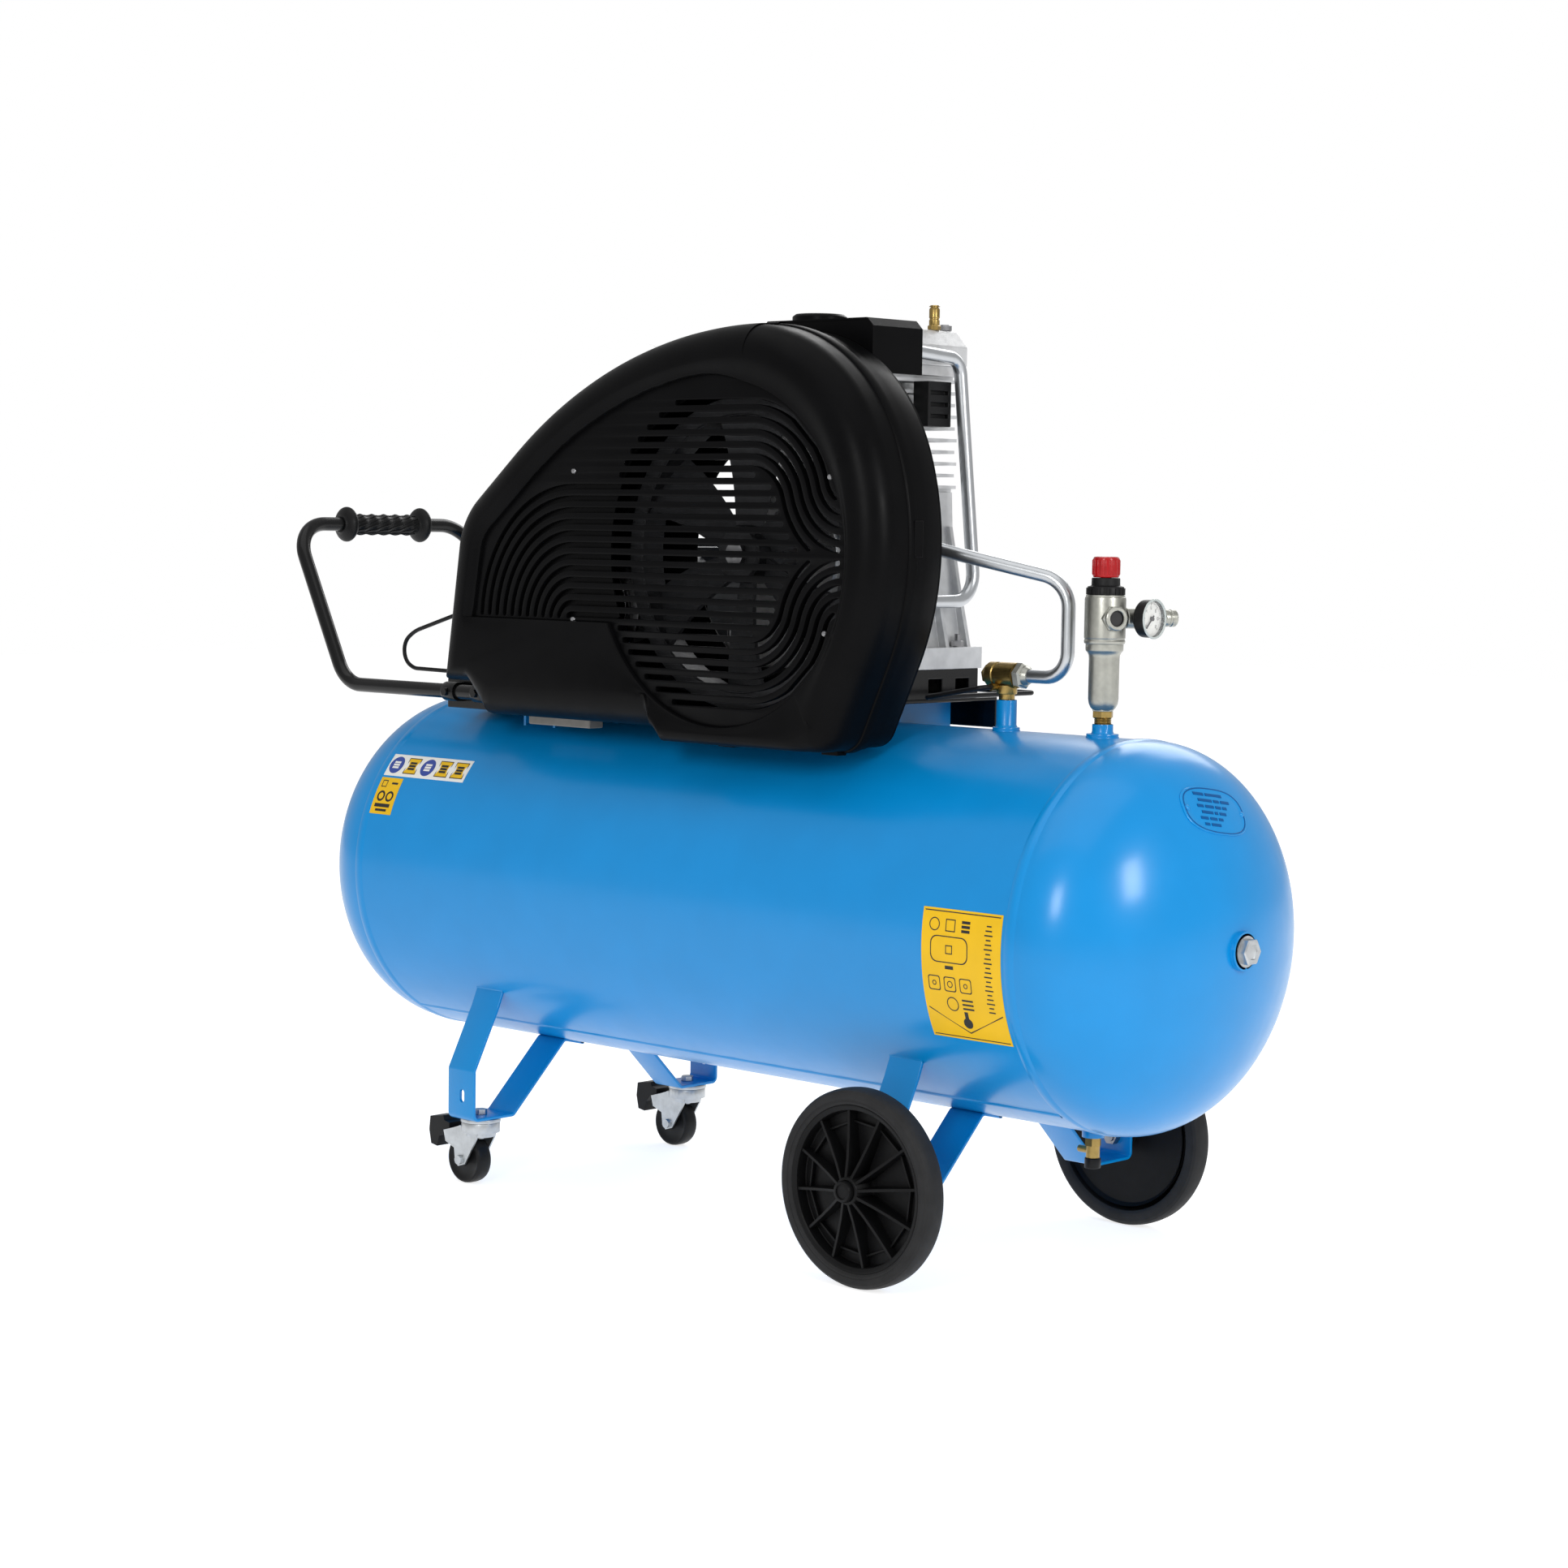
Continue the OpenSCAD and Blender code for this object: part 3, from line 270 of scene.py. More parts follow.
FLOOR = finish_material("pale_floor", linear(196, 196, 196), 0.7, tint=0.004, patch=3, grain=200,
                        grain_depth=0.00002, specular=0.1)
GLOW = FLOOR.node_tree.nodes["Principled BSDF"].inputs
GLOW["Emission Color"].default_value = (1.0, 1.0, 1.0, 1)
GLOW["Emission Strength"].default_value = FLOOR_GLOW

BY_SLOT = {
    "blue_paint": BLUE, "black_plastic": BLACK_PLASTIC, "black_paint": BLACK_PAINT, "zinc": ZINC,
    "steel": STEEL, "cast_alloy": CAST, "tube_alloy": TUBE, "nickel": NICKEL, "brass": BRASS,
    "cast_iron": IRON, "tyre_black": TYRE, "rubber_black": RUBBER, "rubber_grey": GREY_RUBBER,
    "rim_plastic": RIM_PLASTIC, "motor_paint": MOTOR_PAINT, "red_plastic": RED,
    "needle_black": INK_AND_PAINTED_SHADE, "pedal_black": PEDAL,
}


def dress_frame():
    """Each CAD node gets the finish of its own material slot."""
    for part in frame["record"]["subparts"]:
        node = frame["nodes"][part["node"]]
        finish = BY_SLOT[part["material_slot"]]
        if not node.data.materials:
            node.data.materials.append(finish)
        for i in range(len(node.data.materials)):
            node.data.materials[i] = finish


# ---------- mesh helpers ----------
WELD_GAP = 2e-6


def facing_out(name, points, faces):
    """A mesh from points in metres, with doubled points joined and every face turned outward."""
    mesh = bpy.data.meshes.new(name)
    mesh.from_pydata([tuple(p) for p in points], [], faces)
    form = bmesh.new()
    form.from_mesh(mesh)
    bmesh.ops.remove_doubles(form, verts=form.verts, dist=WELD_GAP)
    bmesh.ops.recalc_face_normals(form, faces=form.faces)
    form.to_mesh(mesh)
    form.free()
    return mesh


def evaluated_mesh(thing):
    """An object's mesh with its modifiers, or its curves, worked out."""
    return bpy.data.meshes.new_from_object(thing.evaluated_get(bpy.context.evaluated_depsgraph_get()))


def piece(name, points, faces, finish, body="receiver", crease=35):
    """A smooth-shaded mesh from points in metres, riding on a body, sharp at edges over crease degrees."""
    mesh = facing_out(name, points, faces)
    mesh.materials.append(finish)
    mesh.shade_smooth()
    mesh.set_sharp_from_angle(angle=math.radians(crease))
    made = placed(name, mesh)
    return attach(made, body)


class Build:
    """Points and faces gathered from several simple forms into one piece."""

    def __init__(self):
        self.points, self.faces = [], []

    def add(self, points, faces):
        start = len(self.points)
        self.points += [Vector(p) for p in points]
        self.faces += [tuple(start + i for i in f) for f in faces]

    def grid(self, rows, close_columns=False, caps=False):
        """Quads over rows of points of equal length."""
        n, m = len(rows), len(rows[0])
        faces = [(i * m + j, i * m + (j + 1) % m, (i + 1) * m + (j + 1) % m, (i + 1) * m + j)
                 for i in range(n - 1) for j in range(m if close_columns else m - 1)]
        if caps:
            faces += [tuple(range(m))[::-1], tuple((n - 1) * m + j for j in range(m))]
        self.add([p for row in rows for p in row], faces)

    def lathe(self, profile, place, steps=96, caps=True):
        """A profile of (radius, along) turned about an axis; place maps (across, up, along) to a point."""
        rows = [[place(r * math.cos(a), r * math.sin(a), h)
                 for a in (math.radians(360) * j / steps for j in range(steps))] for r, h in profile]
        self.grid(rows, close_columns=True, caps=caps)

    def tube(self, path, radius, sides=16, caps=True):
        """A round tube along points in metres; radius is one number or one for each point."""
        path = [Vector(p) for p in path]
        radii = radius if isinstance(radius, list) else [radius] * len(path)
        side = None
        rows = []
        for i, p in enumerate(path):
            ahead = (path[min(i + 1, len(path) - 1)] - path[max(i - 1, 0)]).normalized()
            if side is None:
                side = ahead.orthogonal().normalized()
            side = (side - ahead * side.dot(ahead)).normalized()
            other = ahead.cross(side)
            rows.append([p + (side * math.cos(2 * math.pi * j / sides)
                              + other * math.sin(2 * math.pi * j / sides)) * radii[i]
                         for j in range(sides)])
        self.grid(rows, close_columns=True, caps=caps)

    def prism(self, outline, low, high, place):
        """A flat outline of (u, v) raised from low to high; place maps (u, v, w) to a point."""
        n = len(outline)
        points = [place(u, v, low) for u, v in outline] + [place(u, v, high) for u, v in outline]
        faces = [tuple(range(n))[::-1], tuple(range(n, 2 * n))]
        faces += [(i, (i + 1) % n, n + (i + 1) % n, n + i) for i in range(n)]
        self.add(points, faces)

    def piece(self, name, finish, body="receiver", crease=35, bevel=0.0):
        made = piece(name, self.points, self.faces, finish, body, crease)
        if bevel:
            soften(made, bevel)
        return made


NODE_WELD, FLAT_ANGLE, SHARP_ANGLE = 0.00002, math.radians(0.6), math.radians(38)


def soften(thing, width, weld=False):
    """Rounds a piece's sharp edges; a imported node's split corners are welded first."""
    steps = [("edge", "BEVEL", {"width": width * MM, "segments": 2, "limit_method": "ANGLE",
                                "angle_limit": SHARP_ANGLE, "harden_normals": True})]
    if weld:
        steps = [("weld", "WELD", {"merge_threshold": NODE_WELD}),
                 ("flat", "DECIMATE", {"decimate_type": "DISSOLVE", "angle_limit": FLAT_ANGLE})] + steps
    for name, kind, values in steps:
        step = thing.modifiers.new(name, kind)
        for key, value in values.items():
            setattr(step, key, value)


def circle(x, z, r, n, start=0.0, end=360.0):
    """Points (x, z) round a circle, or along part of one from start to end degrees."""
    return [(x + r * math.cos(math.radians(start + (end - start) * i / n)),
             z + r * math.sin(math.radians(start + (end - start) * i / n)))
            for i in range(n + (abs(end - start) < 360))]


def rounded(points, radius, steps=8):
    """A path through points with each inner corner rounded to radius, one for all or one for each."""
    points = [Vector(p) for p in points]
    path = [points[0]]
    radii = radius if isinstance(radius, list) else [radius] * len(points)
    for a, b, c, radius in zip(points, points[1:], points[2:], radii):
        back, ahead = (a - b).normalized(), (c - b).normalized()
        half = back.angle(ahead) / 2
        cut = radius / math.tan(half)
        centre = b + (back + ahead).normalized() * radius / math.sin(half)
        first, last = b + back * cut - centre, b + ahead * cut - centre
        sweep = first.angle(last)
        for i in range(steps + 1):
            t = i / steps
            path.append(centre + (first * math.sin((1 - t) * sweep) + last * math.sin(t * sweep))
                        / math.sin(sweep))
    return path + [points[-1]]


def smooth_step(x):
    x = max(0.0, min(1.0, x))
    return x * x * (3 - 2 * x)


# ---------- belt guard ----------
GUARD_LO, GUARD_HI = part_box("guard_front")
GUARD_FRONT = GUARD_LO.y / MM
GUARD_PART = GUARD_HI.y / MM
GUARD_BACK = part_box("guard_rear")[1].y / MM
GUARD_LOW, GUARD_STEP = 597, 612
# arcs of the outline, clockwise from the lower right: centre x, centre z, radius, from, to, steps
GUARD_ARCS = [(19.8, 833.7, 330, -25, 20, 34), (125, 872, 218, 20, 90, 34),
              (140, 431, 660, 90, 129, 44), (-280.5, 811, 100, 129, 172, 18)]
RIM_WIDTH, RIM_DEPTH = 40, 38
GRILLE_X, GRILLE_Z, GRILLE_R = 96, 822, 205
SLOT_PITCH, SLOT_WIDTH = 14.2, 6.4
NEST_X, NEST_Z = -157, 733
LEDGE_Z = 735
BEND_A, BEND_B = (143, 49.3), (292, 90)
CREASE_INSET, CREASE_DROP = 52, 5
CLOSE_FROM, CLOSE_OVER = 76, 26
INSET_SAMPLE = 30
PANEL_THICK, PANEL_INSET = 9, 1.4
CORNER_X, CORNER_Z = 251.3, 631.8
BASE_TOP, BASE_RIGHT = 651, 229
CRANK_X, CRANK_Z = 98, 822
MOTOR_X, MOTOR_Z = -160, 752
REAR_OPENING = 150
RECESS_Y = GUARD_FRONT + 11


def guard_outline(inset):
    """The guard's outline in x and z, inset from its true edge, with the same number of points each time."""
    x, z, r, start = GUARD_ARCS[0][:4]
    line = circle(CORNER_X, CORNER_Z, max(35, inset + 1) - inset, 12, -90, start)
    first = (x + (r - inset) * math.cos(math.radians(start)), z + (r - inset) * math.sin(math.radians(start)))
    line += straight(line[-1], first, 8)[1:-1]
    for x, z, r, start, end, steps in GUARD_ARCS:
        line += circle(x, z, r - inset, steps, start, end)
    for corner, steps in (((-404 + inset, 652 + inset * 0.5), 16),
                          ((-352 + inset * 0.3, 652 + inset * 0.5), 5),
                          ((-326 + inset * 0.6, GUARD_STEP + inset), 5),
                          ((-24, GUARD_STEP + inset), 26), ((-6, GUARD_STEP + inset), 6),
                          ((8, GUARD_LOW + inset), 4), ((CORNER_X, GUARD_LOW + inset), 24)):
        line += straight(line[-1], corner, steps)[1:]
    return line[:-1]


def straight(a, b, steps):
    """Points from a to b in equal steps, both ends included."""
    return [tuple(p + (q - p) * i / steps for p, q in zip(a, b)) for i in range(steps + 1)]


def inside(x, z, line):
    """Whether (x, z) lies inside a closed outline."""
    crossings = sum((a[1] > z) != (b[1] > z) and x < (b[0] - a[0]) * (z - a[1]) / (b[1] - a[1]) + a[0]
                    for a, b in zip(line, line[1:] + line[:1]))
    return crossings % 2 == 1


def crease_line():
    """The edge of the sunken grille panel: a circle joined to a swept area on its left."""
    limit = guard_outline(CREASE_INSET)
    line = []
    for x, z in guard_outline(RIM_WIDTH):
        angle = math.atan2(z - GRILLE_Z, x - GRILLE_X)
        c, s = math.cos(angle), math.sin(angle)
        reach = GRILLE_R
        while (inside(GRILLE_X + (reach + 1) * c, GRILLE_Z + (reach + 1) * s, limit)
               and (s >= 0 or GRILLE_Z + (reach + 1) * s > LEDGE_Z)):
            reach += 1
        # the sweep closes onto the grille's circle just right of its top
        swept = smooth_step((math.degrees(angle) - CLOSE_FROM) / CLOSE_OVER) if angle > 0 else (
            1.0 if c < 0 else 0.0)
        reach = GRILLE_R + (reach - GRILLE_R) * swept
        line.append((GRILLE_X + reach * c, GRILLE_Z + reach * s))
    meet = (GRILLE_X - math.sqrt(GRILLE_R ** 2 - (GRILLE_Z - LEDGE_Z) ** 2), LEDGE_Z)
    far = (min(x for x, z in limit if abs(z - LEDGE_Z) < 12), LEDGE_Z)
    for corner in (meet, far):
        nearest = min(range(len(line)), key=lambda i: math.dist(line[i], corner))
        line[nearest] = corner
    return line


def rim_share(x, z):
    """How much of the full rounding the rim has here: little under the grille, full elsewhere."""
    if z > 700:
        return 1.0
    if x < 0:
        return 1 - 0.68 * smooth_step((x + 18) / 10)
    return 0.32 + 0.68 * smooth_step((x - 215) / 75)


def guard_front():
    """The front shell with its rounded rim, the sunken grille panel and the blind panel left of it."""
    edge, inner = guard_outline(0), guard_outline(INSET_SAMPLE)
    inward = [((q[0] - p[0]) / INSET_SAMPLE, (q[1] - p[1]) / INSET_SAMPLE) for p, q in zip(edge, inner)]
    share = [rim_share(*p) for p in edge]
    crease = crease_line()

    def ring(inset, y, scaled=False):
        return [pt(p[0] + d[0] * inset * k, y(s), p[1] + d[1] * inset * k)
                for p, d, s, k in zip(edge, inward, share, share if scaled else [1] * len(share))]

    rows = [ring(27, lambda s: GUARD_FRONT + 14, True), ring(9, lambda s: GUARD_FRONT + 24, True),
            ring(3, lambda s: GUARD_FRONT + 4 + RIM_DEPTH), ring(3, lambda s: GUARD_PART),
            ring(-1.2, lambda s: GUARD_PART), ring(-2.4, lambda s: GUARD_PART - 1.4),
            ring(-2.4, lambda s: GUARD_PART - 12), ring(-1.6, lambda s: GUARD_PART - 13.6),
            ring(0, lambda s: GUARD_PART - 14.4), ring(0, lambda s: GUARD_PART - 18)]
    for step in range(13):
        turn = math.radians(90 * step / 12)
        rows.append(ring(RIM_WIDTH * (1 - math.cos(turn)),
                         lambda s: GUARD_FRONT + RIM_DEPTH * s * (1 - math.sin(turn)), True))
    top = [(p[0] + d[0] * RIM_WIDTH * s, p[1] + d[1] * RIM_WIDTH * s)
           for p, d, s in zip(edge, inward, share)]
    for step in range(1, 8):
        w = step / 7
        rows.append([pt(a[0] + (b[0] - a[0]) * w, GUARD_FRONT + CREASE_DROP * smooth_step(w),
                        a[1] + (b[1] - a[1]) * w) for a, b in zip(top, crease)])

    def drawn_in(inset):
        return [(x + (GRILLE_X - x) * inset / GRILLE_R, z + (GRILLE_Z - z) * inset / GRILLE_R)
                for x, z in crease]

    for inset, y in ((0.8, 0.8), (1.6, 2.4), (2.2, RECESS_Y + PANEL_THICK - GUARD_FRONT - CREASE_DROP)):
        rows.append([pt(x, GUARD_FRONT + CREASE_DROP + y, z) for x, z in drawn_in(inset)])
    shell = Build()
    shell.grid(rows, close_columns=True)
    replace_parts(shell.piece("guard_front_shell", BLACK_PLASTIC, crease=28), "guard_front")
    panel = drawn_in(PANEL_INSET)
    slots = [stadium(path, SLOT_WIDTH / 2) for path in slot_paths() if len(path) > 1]
    flat_plate("guard_grille", panel, slots, RECESS_Y, RECESS_Y + PANEL_THICK, 0.9, BLACK_PLASTIC)
    back = [p for p in panel if p[0] < GRILLE_X - 70 and math.dist(p, (GRILLE_X, GRILLE_Z)) > GRILLE_R - 1]
    back.sort(key=lambda p: -math.atan2(p[1] - GRILLE_Z, -(p[0] - GRILLE_X)))
    ends = [math.degrees(math.atan2(p[1] - GRILLE_Z, p[0] - GRILLE_X)) % 360 for p in (back[-1], back[0])]
    back += circle(GRILLE_X, GRILLE_Z, 192, 24, ends[0], ends[1])
    flat_plate("guard_grille_back", back, [], RECESS_Y + 7.5, RECESS_Y + 10, 0, BLACK_PLASTIC)


def flat_plate(name, outline, holes, front, back, bevel, finish):
    """An upright plate between y = front and y = back, with holes through it and rounded edges."""
    data = bpy.data.curves.new(name, "CURVE")
    data.dimensions = "2D"
    data.fill_mode = "BOTH"
    data.extrude = (back - front) / 2 * MM - bevel * MM
    data.bevel_depth = bevel * MM
    data.bevel_resolution = 1
    data.offset = -bevel * MM
    for ring in [outline] + holes:
        spline = data.splines.new("POLY")
        spline.points.add(len(ring) - 1)
        for point, (x, z) in zip(spline.points, ring):
            point.co = (x * MM, z * MM, 0, 1)
        spline.use_cyclic_u = True
    drawn = placed(name + "_drawn", data)
    mesh = evaluated_mesh(drawn)
    bpy.data.objects.remove(drawn)
    middle = (front + back) / 2
    points = [pt(v.co.x / MM, middle - v.co.z / MM, v.co.y / MM) for v in mesh.vertices]
    faces = [tuple(p.vertices) for p in mesh.polygons]
    return piece(name, points, faces, finish, crease=40)


def slot_paths():
    """Centre lines of the grille's slots: rows that nest round a corner on the left, S bends on the right."""
    reach = math.dist(BEND_A, BEND_B)
    lean = math.degrees(math.atan2(BEND_B[1] - BEND_A[1], BEND_B[0] - BEND_A[0]))
    arm = bend(50, reach, lean)
    paths = []
    for k in range(13):
        rise = (k + 0.5) * SLOT_PITCH
        left = GRILLE_X - math.sqrt((GRILLE_R - 13) ** 2 - rise ** 2)
        if k < 7:
            x = BEND_A[0] - 30
            while min(math.dist((x, rise), p) for p in arm) > 6.7 and x < 232:
                x += 1
            upper = [(left, rise), (x, rise)]
        else:
            upper = [(left, rise)] + [
                p for p in bend(rise - BEND_A[1], reach, lean)
                if math.hypot(p[0] - GRILLE_X, p[1]) < GRILLE_R - 9 and p[1] > 6.4]
        for side in (1, -1):
            z = GRILLE_Z + side * rise
            path = [(px, GRILLE_Z + side * pz) for px, pz in upper]
            if k < 6:
                r = z - NEST_Z
                start = math.degrees(math.asin(min(1, 8.5 / r)))
                path = circle(NEST_X, NEST_Z, r, 16, 180 - start, 90) + path[1:]
            paths.append(path)
    return paths


def bend(first, reach, lean):
    """An S bend in (x, height over the middle): a turn of radius first about BEND_A, then back about BEND_B."""
    turn = circle(BEND_A[0], BEND_A[1], first, 14, 90, lean)
    return turn + circle(BEND_B[0], BEND_B[1], reach - first, 16, 180 + lean, 270)[1:]


def stadium(path, half):
    """The closed outline round a path at half a slot's width, with round ends."""
    def side(i):
        a, b = path[max(i - 1, 0)], path[min(i + 1, len(path) - 1)]
        length = math.dist(a, b)
        return (-(b[1] - a[1]) / length, (b[0] - a[0]) / length)

    left, right = ([(p[0] + side(i)[0] * out, p[1] + side(i)[1] * out) for i, p in enumerate(path)]
                   for out in (half, -half))

    def cap(centre, start):
        angle = math.degrees(math.atan2(start[1] - centre[1], start[0] - centre[0]))
        return circle(centre[0], centre[1], half, 6, angle, angle - 180)[1:-1]
    return left + cap(path[-1], left[-1]) + right[::-1] + cap(path[0], right[0])


def guard_rear():
    """The rear shell and its back wall, with openings for the crank and the motor's shaft."""
    def ring(inset, y):
        return [(x, y, max(z, BASE_TOP) if x < BASE_RIGHT else z) for x, z in guard_outline(inset)]

    steps = ((3, GUARD_BACK - 4), (3, GUARD_PART + 0.4), (1.0, GUARD_PART + 0.4), (1.0, GUARD_PART + 16),
             (2.6, GUARD_PART + 17), (2.6, GUARD_BACK - 9), (4, GUARD_BACK - 4.5), (7, GUARD_BACK - 1.5),
             (11, GUARD_BACK))
    shell = Build()
    shell.grid([[pt(*p) for p in ring(*step)] for step in steps], close_columns=True)
    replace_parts(shell.piece("guard_rear_shell", BLACK_PLASTIC, crease=28), "guard_rear")
    skin = [(x, z) for x, y, z in ring(10.5, 0)]
    holes = [circle(CRANK_X, CRANK_Z, REAR_OPENING, 72)[:-1], circle(MOTOR_X, MOTOR_Z, 44, 40)[:-1]]
    flat_plate("guard_rear_skin", skin, holes, GUARD_BACK - 3, GUARD_BACK, 0.6, BLACK_PLASTIC)


def guard_trim():
    """Screws, side clip and lower lugs of the guard, and the side wall of the intake shroud."""
    screws = Build()
    for x, z in ((-155, 919), (-154, 737.5), (272, 912), (267, 734)):
        screws.lathe([(0.1, 2.6), (2.6, 2.4), (3.4, 1.4), (3.6, 0)],
                     lambda a, b, h: pt(x + a, RECESS_Y - h + 0.2, z + b), 16)
    screws.piece("guard_screws", STEEL)
    lo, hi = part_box("air_shroud")
    right, top = (hi.x - X0) / MM, HEAD_TOP + 3.6
    side = Build()
    side.prism([(right + x, top + z) for x, z in ((-170, 0), (-10, 0), (-1, -9), (-0.6, -63), (-60, -63),
                                                  (-110, -40), (-170, -14))],
               lo.y / MM + 0.3, lo.y / MM + 3, lambda u, v, w: pt(u, w, v))
    side.piece("air_shroud_side", BLACK_PLASTIC, bevel=1.0)
    clip = Build()
    clip.prism([(347.5, GUARD_PART - 9), (353.5, GUARD_PART - 8), (353.5, GUARD_PART + 6),
                (347.5, GUARD_PART + 7)], CRANK_Z, CRANK_Z + 42, pt)
    for x in (60, 228):
        clip.prism([(x, -176), (x + 26, -176), (x + 26, -160), (x, -160)], GUARD_LOW - 5, GUARD_LOW + 2, pt)
    clip.piece("guard_clips", BLACK_PLASTIC, bevel=1.2)


BLADES, BLADE_ROWS, BLADE_HALF, BLADE_FLATTEN = 6, 12, 2.6, 0.72


def flywheel():
    """Grooved rim, hub and six broad twisted blades that move the cooling air."""
    lo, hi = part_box("flywheel")
    front, back = lo.y / MM, hi.y / MM
    rim_r, belt_y, hub_r, bore_r = (hi.x - lo.x) / 2 / MM, front + 20, 34, 14.1
    place = about_y(CRANK_X, CRANK_Z)
    wheel_cast = Build()
    rim = ((-21, -17), (-20, -18), (-1, -18), (0, -17), (0, -8.2), (-9.6, -5), (-9.6, 5), (0, 8.2), (0, 17),
           (-1, 18), (-20, 18), (-22, 17), (-22, -17), (-21, -17))
    wheel_cast.lathe([(rim_r + r, belt_y + y) for r, y in rim], place, 120, caps=False)
    wheel_cast.lathe([(bore_r, front), (hub_r - 3, front), (hub_r, front + 3), (hub_r + 1, back - 4),
                      (hub_r, back), (bore_r, back), (bore_r, front)], place, 72, caps=False)
    for i in range(BLADES):
        a = math.radians(i * 360 / BLADES)
        rows = []
        for k in range(BLADE_ROWS + 1):
            r = hub_r - 2 + (rim_r - 19 - hub_r) * k / BLADE_ROWS
            half, lean = 18 + 26 * k / BLADE_ROWS, math.radians(26 - 4 * k / BLADE_ROWS)
            bow = 7 * math.sin(math.pi * k / BLADE_ROWS)
            ring = []
            for w, t in ((-half, -BLADE_HALF), (half, -BLADE_HALF), (half, BLADE_HALF), (-half, BLADE_HALF)):
                across = w * math.cos(lean) - t * math.sin(lean) + bow
                deep = w * math.sin(lean) + t * math.cos(lean)
                ring.append(place(across * math.cos(a) + r * math.sin(a),
                                  r * math.cos(a) - across * math.sin(a), belt_y + deep * BLADE_FLATTEN))
            rows.append(ring)
        wheel_cast.grid(rows, close_columns=True)
    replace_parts(wheel_cast.piece("flywheel_fan", IRON, "crank", crease=32), "flywheel")


# ---------- receiver ----------
SOCKET_R, CHECK_X, CHECK_Z, REG_X = 12, 360, 686, 502
HEAD_FLANGE, HEAD_DEPTH = 8, 140
SHELL_END = SHELL_HALF + HEAD_FLANGE
SEAM_HALF, SEAM_RISE = 6, 1.2
WELD_ANGLE, WELD_STEPS = -58, 30
PLATE_Y, PLATE_RISE = -3, 152
PLATE_HALF, PLATE_TILT, PLATE_ROLL, PLATE_POWER = (52, 29), 29.7, -9, 2.7


def about_x(y, z):
    """A lathe's placing for an axis along x through (y, z), h being x itself; the others likewise."""
    return lambda a, b, h: pt(h, y + a, z + b)


def about_y(x, z):
    return lambda a, b, h: pt(x + a, h, z + b)


def about_z(x, y, turn=0.0):
    c, s = math.cos(math.radians(turn)), math.sin(math.radians(turn))
    return lambda a, b, h: pt(x + a * c - b * s, y + a * s + b * c, h)


def receiver():
    """Shell and dished heads in one smooth skin, with seam bands and the long weld."""
    low, high = SHELL_HALF - SEAM_HALF, SHELL_HALF + SEAM_HALF
    half = [(TANK_R, 0), (TANK_R, low - 1.6), (TANK_R + 0.15, low - 0.6), (TANK_R + SEAM_RISE, low + 1.6),
            (TANK_R + SEAM_RISE * 1.1, SHELL_HALF), (TANK_R + SEAM_RISE, high - 1.6),
            (TANK_R + 0.15, high + 0.6), (TANK_R, high + 1.6)]
    half += [(TANK_R * math.cos(math.radians(a)), SHELL_END + HEAD_DEPTH * math.sin(math.radians(a)))
             for a in np.arange(0, 90.1, 2.5)]
    half[-1] = (0.05, half[-1][1])
    line = [(r, -x) for r, x in half[:0:-1]] + half
    skin = Build()
    skin.lathe(line, about_x(0, TANK_Z), 160)
    rows = []
    for i in range(2 * WELD_STEPS + 1):
        x = -SHELL_HALF + SEAM_HALF + i * (SHELL_HALF - SEAM_HALF) / WELD_STEPS
        ripple = 0.25 * math.sin(i * 1.9)
        row = []
        for off, lift in ((-4.5, -0.3), (-3, 0.9 + ripple), (0, 1.6), (3, 0.9 - ripple), (4.5, -0.3)):
            a = math.radians(WELD_ANGLE + off / TANK_R * 57.3)
            row.append(pt(x, -(TANK_R + lift) * math.cos(a), TANK_Z + (TANK_R + lift) * math.sin(a)))
        rows.append(row)
    skin.grid(rows)
    made = skin.piece("receiver_skin", BLUE, crease=50)
    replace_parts(made, "tank_shell", "tank_head_left", "tank_head_right")


def on_head(u, v, lift):
    """A point of the data plate: u and v along the plate from its middle, raised by lift."""
    c, s = math.cos(math.radians(PLATE_ROLL)), math.sin(math.radians(PLATE_ROLL))
    y = PLATE_Y + u * c - v * s
    rise = PLATE_RISE + (u * s + v * c) * math.cos(math.radians(PLATE_TILT))
    share = (y * y + rise * rise) / TANK_R ** 2
    out = HEAD_DEPTH * math.sqrt(1 - share)
    normal = Vector((out / HEAD_DEPTH ** 2, y / TANK_R ** 2, rise / TANK_R ** 2)).normalized()
    return pt(SHELL_END + out + normal.x * lift, y + normal.y * lift, TANK_Z + rise + normal.z * lift)


